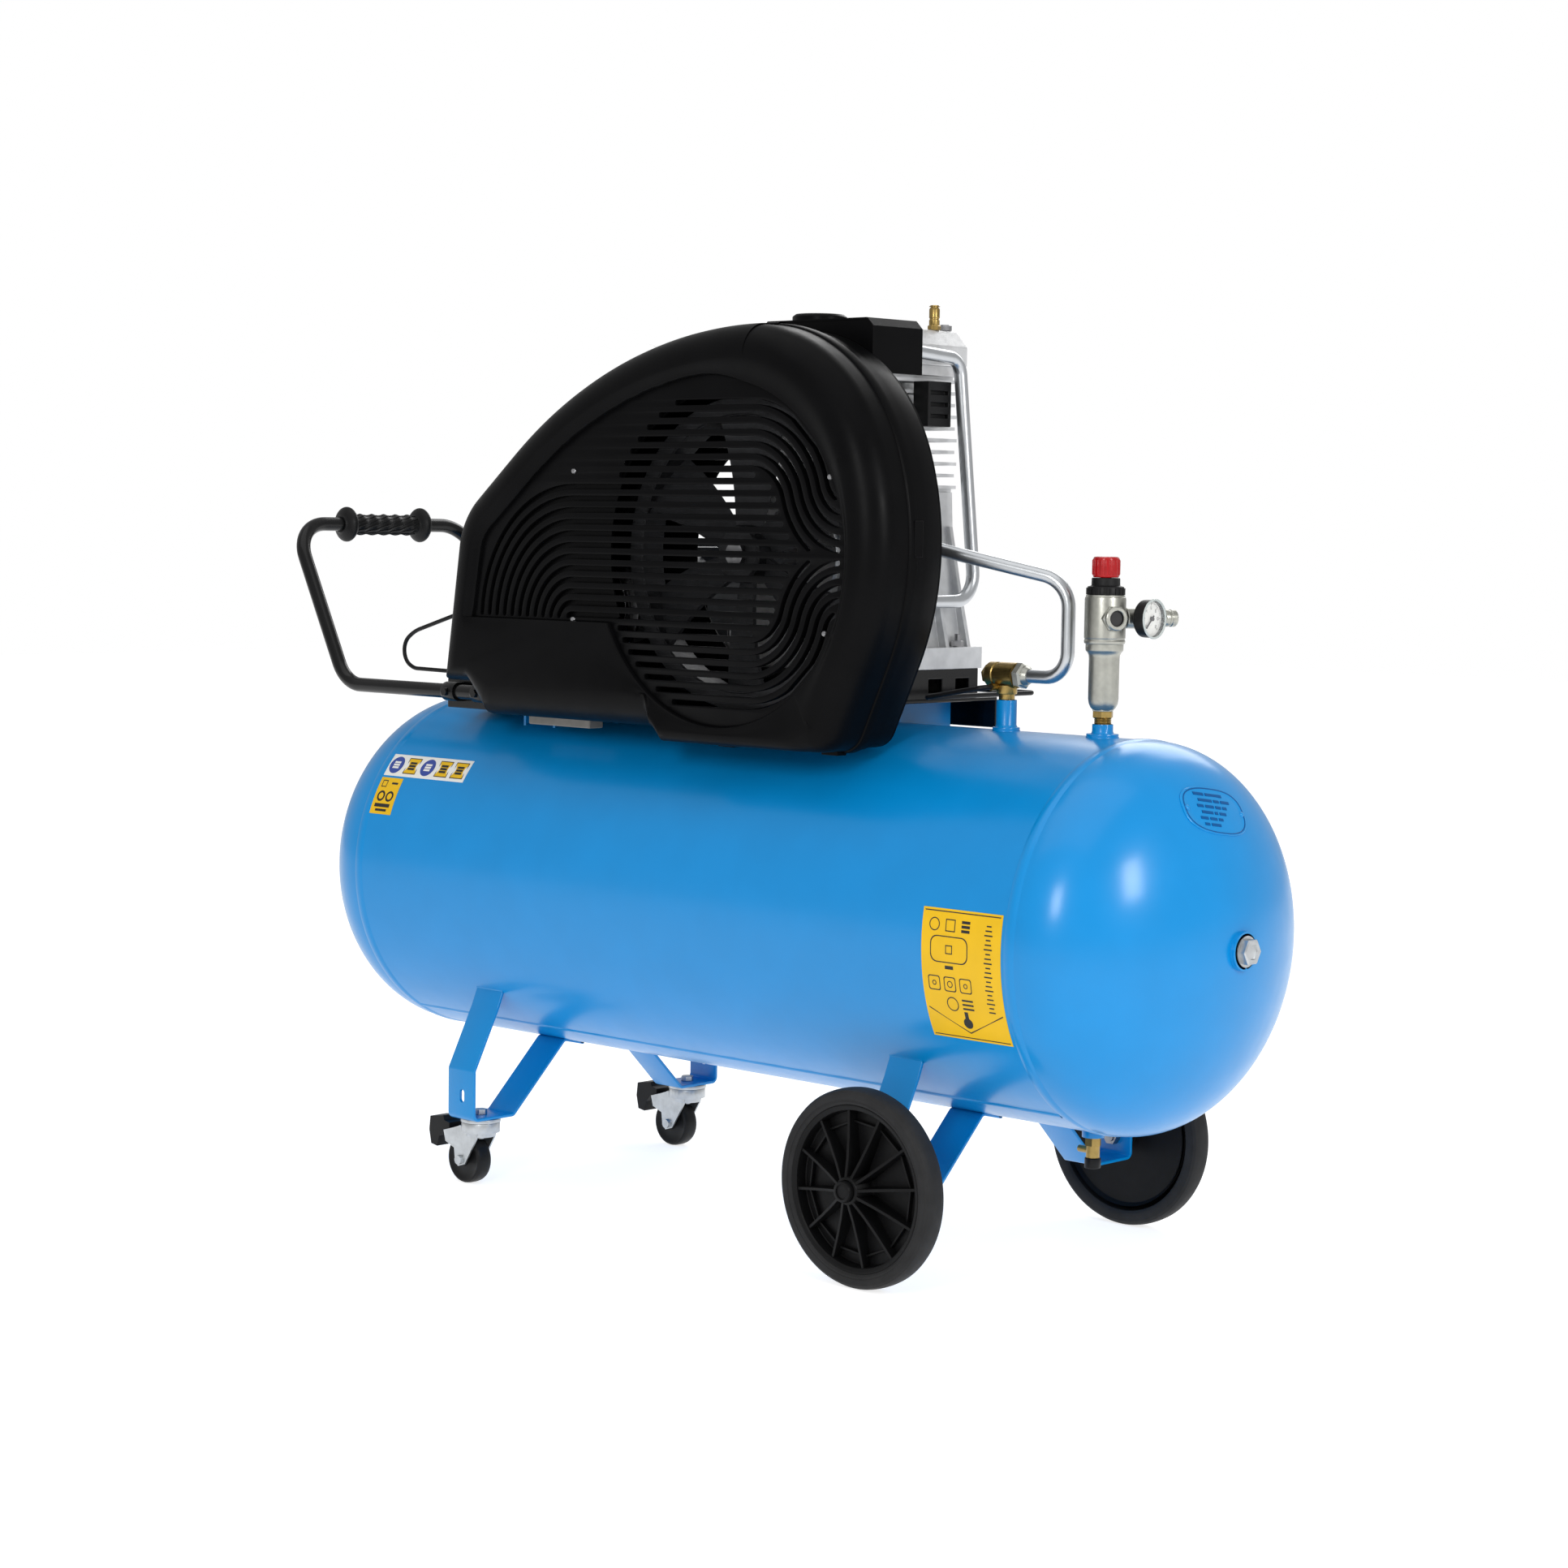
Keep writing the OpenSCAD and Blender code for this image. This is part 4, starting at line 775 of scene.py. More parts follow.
def data_plate():
    """The oval plate: a raised blue sheet with a rolled border, two rivets, and generic embossed bars and an
    inner ring in a darker blue that is painted shade of the embossing.
    """
    half_u, half_v = PLATE_HALF
    rim = []
    for i in range(72):
        a = math.radians(i * 5)
        c, s = math.cos(a), math.sin(a)
        reach = (abs(c / half_u) ** PLATE_POWER + abs(s / half_v) ** PLATE_POWER) ** (-1 / PLATE_POWER)
        rim.append((c * reach, s * reach))
    plate = Build()
    plate.grid([[on_head(u * k, v * k, lift) for u, v in rim]
                for k, lift in ((1.0, -1), (1.0, 0.9), (0.985, 1.45), (0.955, 1.5), (0.94, 1.1),
                                (0.75, 1.05), (0.5, 1.05), (0.25, 1.05), (0.01, 1.05))], close_columns=True)
    raised = Build()
    raised.tube([on_head(u * 0.93, v * 0.93, 1.1) for u, v in rim + rim[:1]], 0.8 * MM, 6, caps=False)
    for row in range(6):
        v = 19 - row * 7.4
        widths = ((18, 30), (24, 12, 18), (12, 16, 12, 10), (20, 8, 14), (14, 14, 10), (10, 18))[row]
        u = -30 + row % 2 * 4
        for w in widths:
            bar = [(u, v - 1.6), (u + w - 3, v - 1.6), (u + w - 3, v + 1.6), (u, v + 1.6)]
            if abs(u + w) < 46:
                raised.prism(bar, 0.8, 1.7, on_head)
            u += w
    for u in (-45.5, 45.5):
        plate.lathe([(0.05, 3.0), (1.8, 2.8), (3.0, 1.9), (3.3, 0.8)],
                    lambda a, b, h, u=u: on_head(u + a, b, h), 20)
    # the raised bars and ring take the darker blue: painted shade
    raised.piece("data_plate_marks", BLUE_PAINTED_SHADE)
    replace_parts(plate.piece("data_plate_oval", BLUE, crease=40), "data_plate")


def fittings():
    """Sockets, boss and end plug with their weld fillets."""
    made = Build()
    r, skin = SOCKET_R, TANK_Z + TANK_R
    for x, top, foot in ((CHECK_X, 657, 16.5), (REG_X, 636, 19)):
        made.lathe([(8, top - 10), (8.2, top), (r - 0.8, top), (r, top - 0.8), (r, skin + 7),
                    (r + 1.2, skin + 4.2), (foot - 1.5, skin + 2.6), (foot, skin + 0.4), (foot, skin - 6)],
                    about_z(x, 0), 48, caps=False)
    crown = SHELL_END + HEAD_DEPTH

    def from_crown(*profile):
        return [(across, crown + out) for across, out in profile]
    made.lathe(from_crown((12.6, -8), (12.6, 5), (20, 5), (21.6, 4.2), (22, 2), (22.4, -1), (25, -2.2),
                          (26.5, -4)),
               about_x(0, TANK_Z), 48, caps=False)
    made.piece("receiver_sockets", BLUE, crease=40)
    plug = Build()
    plug.lathe(from_crown((12.4, -6), (12.4, 5.1), (17.6, 5.1), (17.6, 6.4)), about_x(0, TANK_Z), 48)
    plug.lathe(from_crown((15.4, 6.2), (15.6, 13.2), (14.2, 15), (9.5, 15), (8.6, 13.2), (0.05, 13.2)),
               about_x(0, TANK_Z), 6)
    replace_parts(plug.piece("end_plug_hex", ZINC, crease=25), "end_plug")


def on_shell(u, v, lift):
    """A point of a sticker: u along x, v along the arc up from the middle height, raised by lift."""
    a = v / TANK_R
    return pt(u, -(TANK_R + lift) * math.cos(a), TANK_Z + (TANK_R + lift) * math.sin(a))


SHEET_LIFT, PRINT_LIFT, OVERPRINT_LIFT = 0.28, 0.42, 0.55


def sticker(name, finish, u0, u1, v0, v1):
    """A thin printed sheet wrapped round the shell."""
    sheet = Build()
    sheet.grid([[on_shell(u0 + (u1 - u0) * i / 10, v, SHEET_LIFT) for v in np.linspace(v0, v1, 25)]
                for i in range(11)])
    edge = ([(u, v0) for u in np.linspace(u0, u1, 11)] + [(u1, v) for v in np.linspace(v0, v1, 25)]
            + [(u, v1) for u in np.linspace(u1, u0, 11)] + [(u0, v) for v in np.linspace(v1, v0, 25)])
    sheet.grid([[on_shell(u, v, lift) for u, v in edge] for lift in (SHEET_LIFT, -0.3)])
    sheet.piece(name, finish, crease=30)


def printed(name, finish, shapes, lift=PRINT_LIFT):
    """Flat printed marks, each an outline in (u, v) on the shell, some with a hole in the middle."""
    marks = Build()
    for outer, inner in shapes:
        if inner:
            marks.grid([[on_shell(u, v, lift) for u, v in line] for line in (outer, inner)],
                       close_columns=True)
        else:
            mid_u, mid_v = (sum(p[i] for p in outer) / len(outer) for i in (0, 1))
            marks.grid([[on_shell(mid_u + (u - mid_u) * k, mid_v + (v - mid_v) * k, lift) for u, v in outer]
                        for k in (1, 0.75, 0.5, 0.25, 0.01)], close_columns=True)
    marks.piece(name, finish, crease=30)


def disc(u, v, r):
    return [(u + r * math.cos(2 * math.pi * i / 28), v + r * math.sin(2 * math.pi * i / 28)) for i in range(28)]


def square(u, v, half_u, half_v=None):
    half_v = half_v or half_u
    return [(u - half_u, v - half_v), (u + half_u, v - half_v), (u + half_u, v + half_v),
            (u - half_u, v + half_v)]


def filled(form, *places):
    """Printed forms without a hole, one for each tuple of the form's own arguments."""
    return [(form(*place), None) for place in places]


def hollow(form, u, v, outer, inner):
    """A printed outline: the form at one size with itself at a smaller size cut out."""
    return [(form(u, v, outer), form(u, v, inner))]


def shrunk(line, u, v, k_u, k_v):
    """A closed line drawn in towards (u, v)."""
    return [((a - u) * k_u + u, (b - v) * k_v + v) for a, b in line]


def labels():
    """Three generic stickers: plain discs, squares and bars stand where pictures and words would be."""
    arc = math.radians(1) * TANK_R
    low, high = 33.2 * arc, 41.8 * arc
    middle = (low + high) / 2
    sticker("label_strip", WHITE, -550, -390, low, high)
    marks = [-533 + 31.5 * i for i in range(5)]
    round_marks, square_marks = (marks[0], marks[2]), (marks[1], marks[3], marks[4])
    printed("label_strip_blue", BLUE_INK, filled(disc, *((u, middle, 13.2) for u in round_marks)))
    printed("label_strip_yellow", YELLOW, filled(square, *((u, middle, 12.4) for u in square_marks)))
    printed("label_strip_ink", INK_AND_PAINTED_SHADE,
            [shape for u in square_marks for shape in hollow(square, u, middle, 12.4, 11.2)]
            + filled(square, *((u, middle + off, 6.5, 1.7) for u in square_marks for off in (-4.5, 0, 4.5))),
            OVERPRINT_LIFT)
    printed("label_strip_light", WHITE,
            filled(square, *((u, middle + off, 6, 1.5) for u in round_marks for off in (-4, 0, 4))),
            OVERPRINT_LIFT)
    low, high = 19.2 * arc, 32.4 * arc
    sticker("label_small", YELLOW, -552, -506, low, high)
    printed("label_small_ink", INK_AND_PAINTED_SHADE,
            hollow(square, -538, high - 9, 5, 3.8) + filled(square, (-518, high - 8, 6, 1.4))
            + hollow(disc, -536, low + 25, 7.5, 4.6) + hollow(disc, -519, low + 25, 7.5, 4.6)
            + filled(square, (-528, low + 12, 15, 2.4), (-528, low + 5.5, 11, 1.6)))
    low, high = -27.7 * arc, 10.7 * arc
    left, right = 430, 544
    mid_u, mid_v, half_v = (left + right) / 2, (low + high) / 2, (high - low) / 2
    sticker("label_large", YELLOW, left, right, low, high)
    shapes = [(square(mid_u, mid_v, 54.5, half_v - 2.5), square(mid_u, mid_v, 53.3, half_v - 3.7))]
    top = high - 18
    shapes += hollow(disc, 448, top, 7.5, 6.3) + hollow(square, 471, top, 7, 5.8)
    shapes += filled(square, *((493, top + off, 6, 1.6) for off in (0, -5, 5)))
    tank = rounded_box(470, high - 45, 27, 15, 9)
    shapes += [(tank, shrunk(tank, 470, high - 45, 0.95, 0.92))]
    shapes += hollow(square, 470, high - 45, 5, 3.8) + filled(square, (470, high - 65, 6, 2))
    for i in range(3):
        u, v = 447 + i * 22.5, high - 84
        box = rounded_box(u, v, 8.6, 8.6, 3)
        shapes += [(box, shrunk(box, u, v, 0.86, 0.86))] + hollow(disc, u, v, 3 + i % 2, 1.9 + i % 2)
    shapes += filled(square, *((492, high - 106 + off, 8, 1.1) for off in (-5, 0, 5)))
    shapes += hollow(disc, 470, high - 107, 8.5, 7.2)
    shapes += filled(square, *((526, high - 14 - i * 5.1, 3.4 + (i * 7) % 3 * 1.2, 0.8) for i in range(20)))
    shapes += [([(mid_u - s * 53, low + 36), (mid_u, low + 9), (mid_u, low + 10.6),
                 (mid_u - s * 53, low + 37.6)],
                None) for s in (-1, 1)]
    shapes += filled(disc, (mid_u, low + 22, 6.5)) + filled(square, (mid_u, low + 31, 2.6, 5))
    printed("label_large_ink", INK_AND_PAINTED_SHADE, shapes)


def rounded_box(u, v, half_u, half_v, r, n=5):
    """A rectangle's outline with round corners."""
    line = []
    for su, sv, start in ((1, 1, 0), (-1, 1, 90), (-1, -1, 180), (1, -1, 270)):
        line += circle(u + su * (half_u - r), v + sv * (half_v - r), r, n, start, start + 90)
    return line


# ---------- legs ----------
LEG_LINE = [(-172, 254), (-181, 232), (-220, 154), (-220, 90), (-153, 90), (-64, 179), (-30, 171.5)]
LEG_THICK, LEG_WIDE, CASTER_LEG, WHEEL_LEG = 4, 50, -350, 366


def leg(made, x, side):
    """A bent strap: its section follows the line with rounded bends and eased edges."""
    line = rounded([(0, y, z) for y, z in LEG_LINE], 7, 5)
    section = rounded_box(0, 0, LEG_WIDE / 2, LEG_THICK / 2, 1.1, 3)
    rows = []
    for i, p in enumerate(line):
        ahead = (line[min(i + 1, len(line) - 1)] - line[max(i - 1, 0)]).normalized()
        out = Vector((0, -ahead.z, ahead.y))
        rows.append([pt(x + u, side * -(p.y + out.y * v), p.z + out.z * v) for u, v in section])
    made.grid(rows, close_columns=True, caps=True)
    for y, z in ((-172, 254), (-33, 172.5)):
        made.tube([pt(x + u, side * -y, z + 0.5) for u in (-LEG_WIDE / 2, LEG_WIDE / 2)], 3.2 * MM, 8)


def legs():
    for x, node in ((CASTER_LEG, "legs_caster_end"), (WHEEL_LEG, "legs_wheel_end")):
        made = Build()
        for side in (-1, 1):
            leg(made, x, side)
        straps = made.piece(node + "_straps", BLUE, crease=30)
        if x == CASTER_LEG:
            for side in (-1, 1):
                slot = Build()
                slot.prism(rounded_box(x + 2, 120, 4.5, 8.5, 4.4, 6), side * 230, side * 205,
                           lambda u, v, w: pt(u, w, v))
                carve(straps, slot)
        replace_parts(straps, node)


def carve(thing, cutter):
    """Cuts the cutter's form out of a piece for good."""
    tool = placed("cutter", facing_out("cutter", cutter.points, cutter.faces))
    cut = thing.modifiers.new("cut", "BOOLEAN")
    cut.object, cut.operation, cut.solver = tool, "DIFFERENCE", "EXACT"
    bpy.context.view_layer.update()
    mesh = evaluated_mesh(thing)
    thing.modifiers.clear()
    thing.data = mesh
    mesh.set_sharp_from_angle(angle=math.radians(30))
    bpy.data.objects.remove(tool)


# ---------- big wheels ----------
WHEEL_X, WHEEL_Z, WHEEL_Y, SPOKES = 366, 114, 247, 12


def wheel(side, name):
    """Tyre and dished rim with twelve ribs; y runs outward from the wheel's middle."""
    def place(a, b, h):
        return pt(WHEEL_X + a, side * (WHEEL_Y + h), WHEEL_Z + b)
    tyre = Build()
    tyre.lathe([(95.5, -12), (97, -13.4), (99.5, -14.6), (104, -15), (108.6, -14.6), (111.6, -12.6),
                (113.4, -9), (114, -4), (114.1, 0), (114, 4), (113.4, 9), (111.6, 12.6), (108.6, 14.6),
                (104, 15), (101.6, 14.8), (101.2, 14.2), (99.4, 14.2), (98.8, 14.5), (97, 13.6), (95.5, 12),
                (95.5, -12)], place, 144, caps=False)
    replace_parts(tyre.piece("tyre_" + name + "_tread", TYRE, "wheel_" + name, crease=28), "tyre_" + name)
    rim = Build()
    rim.lathe([(96, -11.5), (96, 12.2), (95, 13), (92, 12.6), (89.5, 10.6), (88.6, 7), (88, -2), (87.2, -2.8),
               (60, -2.4), (22, -1.8), (19, -0.6), (17.4, 2), (16, 24), (15.2, 25.4), (12.8, 26), (12, 25.4),
               (11.6, 20), (6.2, 20), (6.2, -15), (15, -15), (16, -14), (16, -7), (86, -6.5),
               (90, -11.5)], place, 144, caps=False)
    for i in range(SPOKES):
        a = math.radians(i * 360 / SPOKES + 8)
        c, s = math.cos(a), math.sin(a)
        rim.prism([(14, -3), (89.5, -3), (89.5, 9.6), (85.5, 9.9), (60, 13.6), (36, 18.6), (14, 25)],
                  -1.7, 1.7, lambda r, h, w, c=c, s=s: place(r * c - w * s, r * s + w * c, h))
    for i in range(SPOKES):
        turns = [math.radians((i + k) * 360 / SPOKES + 8) for k in (0, 1)]
        rim.prism([(r * math.cos(turns[k]), r * math.sin(turns[k]))
                   for r, k in ((78, 0), (78, 1), (75.4, 1), (75.4, 0))], -3, 3.2, place)
    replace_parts(rim.piece("rim_" + name + "_ribbed", RIM_PLASTIC, "wheel_" + name, crease=32, bevel=0.7),
                "rim_" + name)


def axles():
    """The axle bolt of each big wheel and the round cap over its nut."""
    bolt, cap = Build(), Build()
    for side in (-1, 1):
        def place(a, b, h):
            return pt(WHEEL_X + a, side * h, WHEEL_Z + b)
        bolt.lathe([(6, 206), (6, 272)], place, 32)
        bolt.lathe([(10.2, 208), (10.4, 209), (10.4, 217), (10.2, 218)], place, 6)
        bolt.lathe([(11, 222), (11, 231.5)], place, 40)
        cap.lathe([(7, 268), (11.4, 268), (12, 274), (12.5, 275), (12.5, 278.5), (11.6, 280.4), (9, 281),
                   (8.2, 280.2), (8, 278.8), (0.05, 278.6)], place, 48)
    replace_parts(bolt.piece("axle_bolts", STEEL, crease=30), "wheel_axles")
    cap.piece("axle_caps", RIM_PLASTIC, crease=30)


CASTER_TRAIL, CASTER_Y, CASTER_R = 21, 188, 31.5


def caster_roller(side, name):
    """The caster's moulded wheel: broad tread, recessed side and hub."""
    def place(a, b, h):
        return pt(CASTER_LEG - CASTER_TRAIL + a, side * CASTER_Y + h, CASTER_R + b)
    made = Build()
    half = [(3.6, 13), (8.4, 13), (9, 12.4), (9.2, 9.8), (12, 9.2), (23, 9.4), (25.5, 10.8), (28, 11.3),
            (30, 10.2), (31, 8), (CASTER_R, 4.5), (CASTER_R, 0)]
    made.lathe([(r, -h) for r, h in half[:-1]] + [(r, h) for r, h in half[::-1]], place, 96, caps=False)
    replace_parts(made.piece("caster_roller_" + name + "_tread", RUBBER, "caster_roller_" + name, crease=30),
                "caster_wheel_" + name)


# ---------- air tubes ----------
TUBE_R, TUBE_Z = 8, 1066
HEAD_SIDE = 190
GRIP_X, GRIP_Z = -781, 849
CABLE_R, LEAD_Y, LEAD_Z = 2.8, 6, 772


def hexagon(made, start, toward, length, across):
    """A chamfered hexagonal nut from start (mm) along a direction."""
    d = Vector(toward).normalized()
    u = d.orthogonal().normalized()
    v = d.cross(u)
    r = across / math.sqrt(3)

    def place(a, b, h):
        return pt(*(Vector(start) + u * a + v * b + d * h))
    made.lathe([(r * 0.86, 0), (r, 0.09 * across), (r, length - 0.09 * across), (r * 0.86, length)], place, 6)


def bent_tube(points, bends, steps, radius, sides):
    """A round tube along a path whose corners are bent, each at its own radius."""
    made = Build()
    made.tube([pt(*p) for p in rounded(points, bends, steps)], radius * MM, sides)
    return made


def air_tubes():
    """The two air tubes with their nuts, and the motor's lead on the base plate with its strain relief."""
    pipe = bent_tube([(HEAD_SIDE - 2, -20, TUBE_Z), (216, -20, TUBE_Z), (213, 76, 1060), (228, 95, 768),
                      (228, -60, 768), (216, -60, TUBE_Z), (HEAD_SIDE - 2, -60, TUBE_Z)],
                     [14, 22, 34, 34, 18], 10, TUBE_R, 24)
    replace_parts(pipe.piece("intercooler_pipe", TUBE, crease=60), "intercooler_tube")
    pipe = bent_tube([(HEAD_SIDE - 2, -84, TUBE_Z), (214, -84, TUBE_Z), (214, -84, 850), (449, 0, 797),
                      (449, 0, CHECK_Z), (394, 0, CHECK_Z)], [15, 24, 38, 30], 12, TUBE_R, 24)
    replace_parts(pipe.piece("discharge_pipe", TUBE, crease=60), "discharge_tube")
    nuts = Build()
    for y in (-20, -60, -84):
        hexagon(nuts, (HEAD_SIDE, y, TUBE_Z), (1, 0, 0), 9, 22)
    nuts.piece("tube_nuts", ZINC, crease=25)
    rest_z = BASE_TOP - 1 + CABLE_R + 0.2
    lead = bent_tube([(-280, LEAD_Y, LEAD_Z), (-340, LEAD_Y, LEAD_Z), (-430, -46, 758), (-560, -60, 728),
                      (-640, -60, 705), (-686, -60, 674), (-640, -60, rest_z + 1), (-560, -60, rest_z),
                      (-310, -60, rest_z), (-310, 135, rest_z), (50, 135, rest_z), (50, 158, rest_z)],
                     [40, 60, 60, 70, 22.5, 30, 60, 22.5, 22.5, 22.5], 12, CABLE_R, 14)
    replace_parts(lead.piece("motor_lead", RUBBER, crease=60), "motor_cable")
    relief = Build()
    ribs = [(CABLE_R - 0.1, -325)]
    for i in range(9):
        x, r = -325 + 3 * i, CABLE_R + 1 + 0.32 * i
        ribs += [(r, x), (r, x + 1.8), (r - 0.7, x + 1.9), (r - 0.7, x + 2.9)]
    relief.lathe(ribs, about_x(LEAD_Y, LEAD_Z), 40)
    relief.piece("lead_strain_relief", RUBBER, crease=28)


# ---------- handle ----------
HANDLE_Y, HANDLE_Z, HANDLE_START, HANDLE_KNEE = 157, 634, -362, -668
GRIP_RIBS, RIB_STEPS = 12, 42


def grip_wave(y):
    """How far the grip's rubber swells at y."""
    return 1.5 * (0.5 + 0.5 * math.cos(2 * math.pi * y / 21)) ** 1.4


def handle():
    """The bent bar and its waved rubber grip with slanting ribs."""
    ends, knees = (HANDLE_START, HANDLE_Z), (HANDLE_KNEE, HANDLE_Z)
    stations = (ends, knees, (GRIP_X, GRIP_Z))
    tube = bent_tube([(x, -HANDLE_Y, z) for x, z in stations]
                     + [(x, HANDLE_Y, z) for x, z in stations[::-1]], 52, 16, 9.5, 32)
    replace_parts(tube.piece("handle_bar", BLACK_PAINT, crease=60), "handle_tube")
    grip = Build()
    place = about_y(GRIP_X, GRIP_Z)
    profile = [(9.7, -77), (11.6, -77), (12.4, -76)]
    for i in range(1, 152):
        y = -76 + i
        rise = max(0, 1 - abs(abs(y) - 66) / 9.5)
        body = 12.3 + (grip_wave(y) if abs(y) < 57 else 0)
        profile.append((body + (24.3 - body) * math.sin(rise * math.pi / 2) ** 0.85, y))
    grip.lathe(profile + [(11.6, 77), (9.7, 77)], place, 64, caps=False)
    for i in range(GRIP_RIBS):
        rib = []
        for k in range(RIB_STEPS + 1):
            y = -54 + k * 108 / RIB_STEPS
            a = 2 * math.pi * (i / GRIP_RIBS + y / 260)
            r = 12.6 + grip_wave(y)
            rib.append(place(r * math.cos(a), r * math.sin(a), y))
        grip.tube(rib, 1.1 * MM, 6)
    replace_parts(grip.piece("handle_grip_waved", RUBBER, crease=40), "handle_grip")


# ---------- regulator ----------
PORT_Z, REG_TURN, GAUGE_TURN, GAUGE_Y = 757, -24, 2, 30
DIGITS = {"0": "abcdef", "2": "abged", "4": "fgbc", "6": "afedcg", "8": "abcdefg", "1": "bc"}


def reg(x, y, z):
    """A point in the regulator's own turned frame."""
    c, s = math.cos(math.radians(REG_TURN)), math.sin(math.radians(REG_TURN))
    return pt(REG_X + x * c - y * s, x * s + y * c, z)


def regulator():
    nipple = Build()
    nipple.lathe([(8, 632), (9.4, 633), (9.4, 644), (9.9, 645)], about_z(REG_X, 0), 40)
    for i in range(4):
        nipple.lathe([(9.3, 636.6 + i * 1.8), (10.1, 637.4 + i * 1.8), (9.3, 638.2 + i * 1.8)],
                     about_z(REG_X, 0), 40, caps=False)
    nipple.lathe([(11, 643), (12.4, 644), (12.4, 650.6), (11, 651.5)], about_z(REG_X, 0), 6)
    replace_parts(nipple.piece("regulator_nipple_turned", BRASS, crease=28), "regulator_nipple")
    bowl = Build()
    bowl.lathe([(9, 651.5), (11.5, 652), (14.6, 655), (16.6, 659.5), (17.4, 665), (17.5, 712), (17.9, 715),
                (19.5, 718), (21, 719.4), (21.6, 721), (21.6, 727.5)], about_z(REG_X, 0), 72, caps=False)
    bowl.lathe([(8, 651), (12.6, 651), (13, 652.4), (12.4, 655), (9, 656)], about_z(REG_X, 0), 6)
    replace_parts(bowl.piece("regulator_bowl_cast", NICKEL, crease=30), "regulator_bowl")
    body = Build()
    body.lathe([(21, 727), (22.8, 728), (23.4, 729.4), (23.5, 731), (22.9, 732), (22.9, 733.4), (23.5, 734.4),
                (23.5, 778), (23, 780.5), (22.2, 781), (22.2, 783)], lambda a, b, h: reg(a, b, h), 80)
    hexes = ((1, 0, 18, 25.8, 27), (0, 1, 19, 24, 23), (-1, 0, 19, 26, 23))
    for dx, dy, near, far, across in hexes:
        r = across / math.sqrt(3)
        body.lathe([(r * 0.96, near), (r, near + 2), (r, far - 1.6), (r * 0.9, far)],
                   lambda a, b, h, dx=dx, dy=dy: reg(dx * h - dy * a, dy * h + dx * a, PORT_Z + b), 6)

    def port(a, b, h):
        return reg(h, a, PORT_Z + b)
    body.lathe([(13.6, 25), (13.6, 28.4), (12.4, 29.5), (9.4, 29.5), (8.6, 28.4), (8.4, 25.5)], port, 48,
               caps=False)
    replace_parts(body.piece("regulator_body_cast", NICKEL, crease=28), "regulator_body")
    # the port's hole is lined with black and ends in a black disc a few millimetres in: painted shade of the
    # hollow, not the body's own colour
    bore = Build()
    bore.lathe([(8.5, 28.6), (8.3, 28), (8.3, 26.2), (0.05, 26.1)], port, 40, caps=False)
    bore.piece("regulator_port_bore_painted_shade", INK_AND_PAINTED_SHADE)
    collar = Build()
    collar.lathe([(20.6, 783), (21.2, 784), (21.2, 791), (20.4, 792.6), (17.6, 793.4), (16.4, 794),
                  (16.2, 801.6), (15.6, 802.5), (6.9, 802.5), (6.9, 785)], about_z(REG_X, 0), 72, caps=False)
    for i in range(20):
        a = math.radians(i * 18)
        collar.prism([(20.9, -1.5), (22.2, -1.1), (22.2, 1.1), (20.9, 1.5)], 783.5, 791,
                     lambda u, v, w, a=a: pt(REG_X + u * math.cos(a) - v * math.sin(a),
                                             u * math.sin(a) + v * math.cos(a), w))
    collar.piece("regulator_collar", PEDAL, crease=28)
    knob = Build()
    knob.lathe([(6.6, 787), (6.6, 803), (14, 803), (14.8, 804), (15, 806), (15.2, 822), (14.9, 824.6),
                (13.6, 826.2), (11, 826.6), (10.4, 825.4), (0.05, 825.2)], about_z(REG_X, 0), 72)
    for i in range(20):
        a = math.radians(i * 18)
        knob.tube([pt(REG_X + 14.9 * math.cos(a), 14.9 * math.sin(a), z) for z in (805.5, 807, 822, 823.6)],
                  [0.4 * MM, 1.15 * MM, 1.15 * MM, 0.4 * MM], 8)
    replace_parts(knob.piece("regulator_knob_ribbed", RED, "regulator_dial", crease=28), "regulator_knob")


def gauge_frame(across, up, out):
    """A point of the gauge: across to the right and up as seen on its face, out along its axis."""
    base = reg(0, GAUGE_Y, PORT_Z)
    c, s = math.cos(math.radians(GAUGE_TURN)), math.sin(math.radians(GAUGE_TURN))
    return base + Vector((c * out - s * across, s * out + c * across, up)) * MM


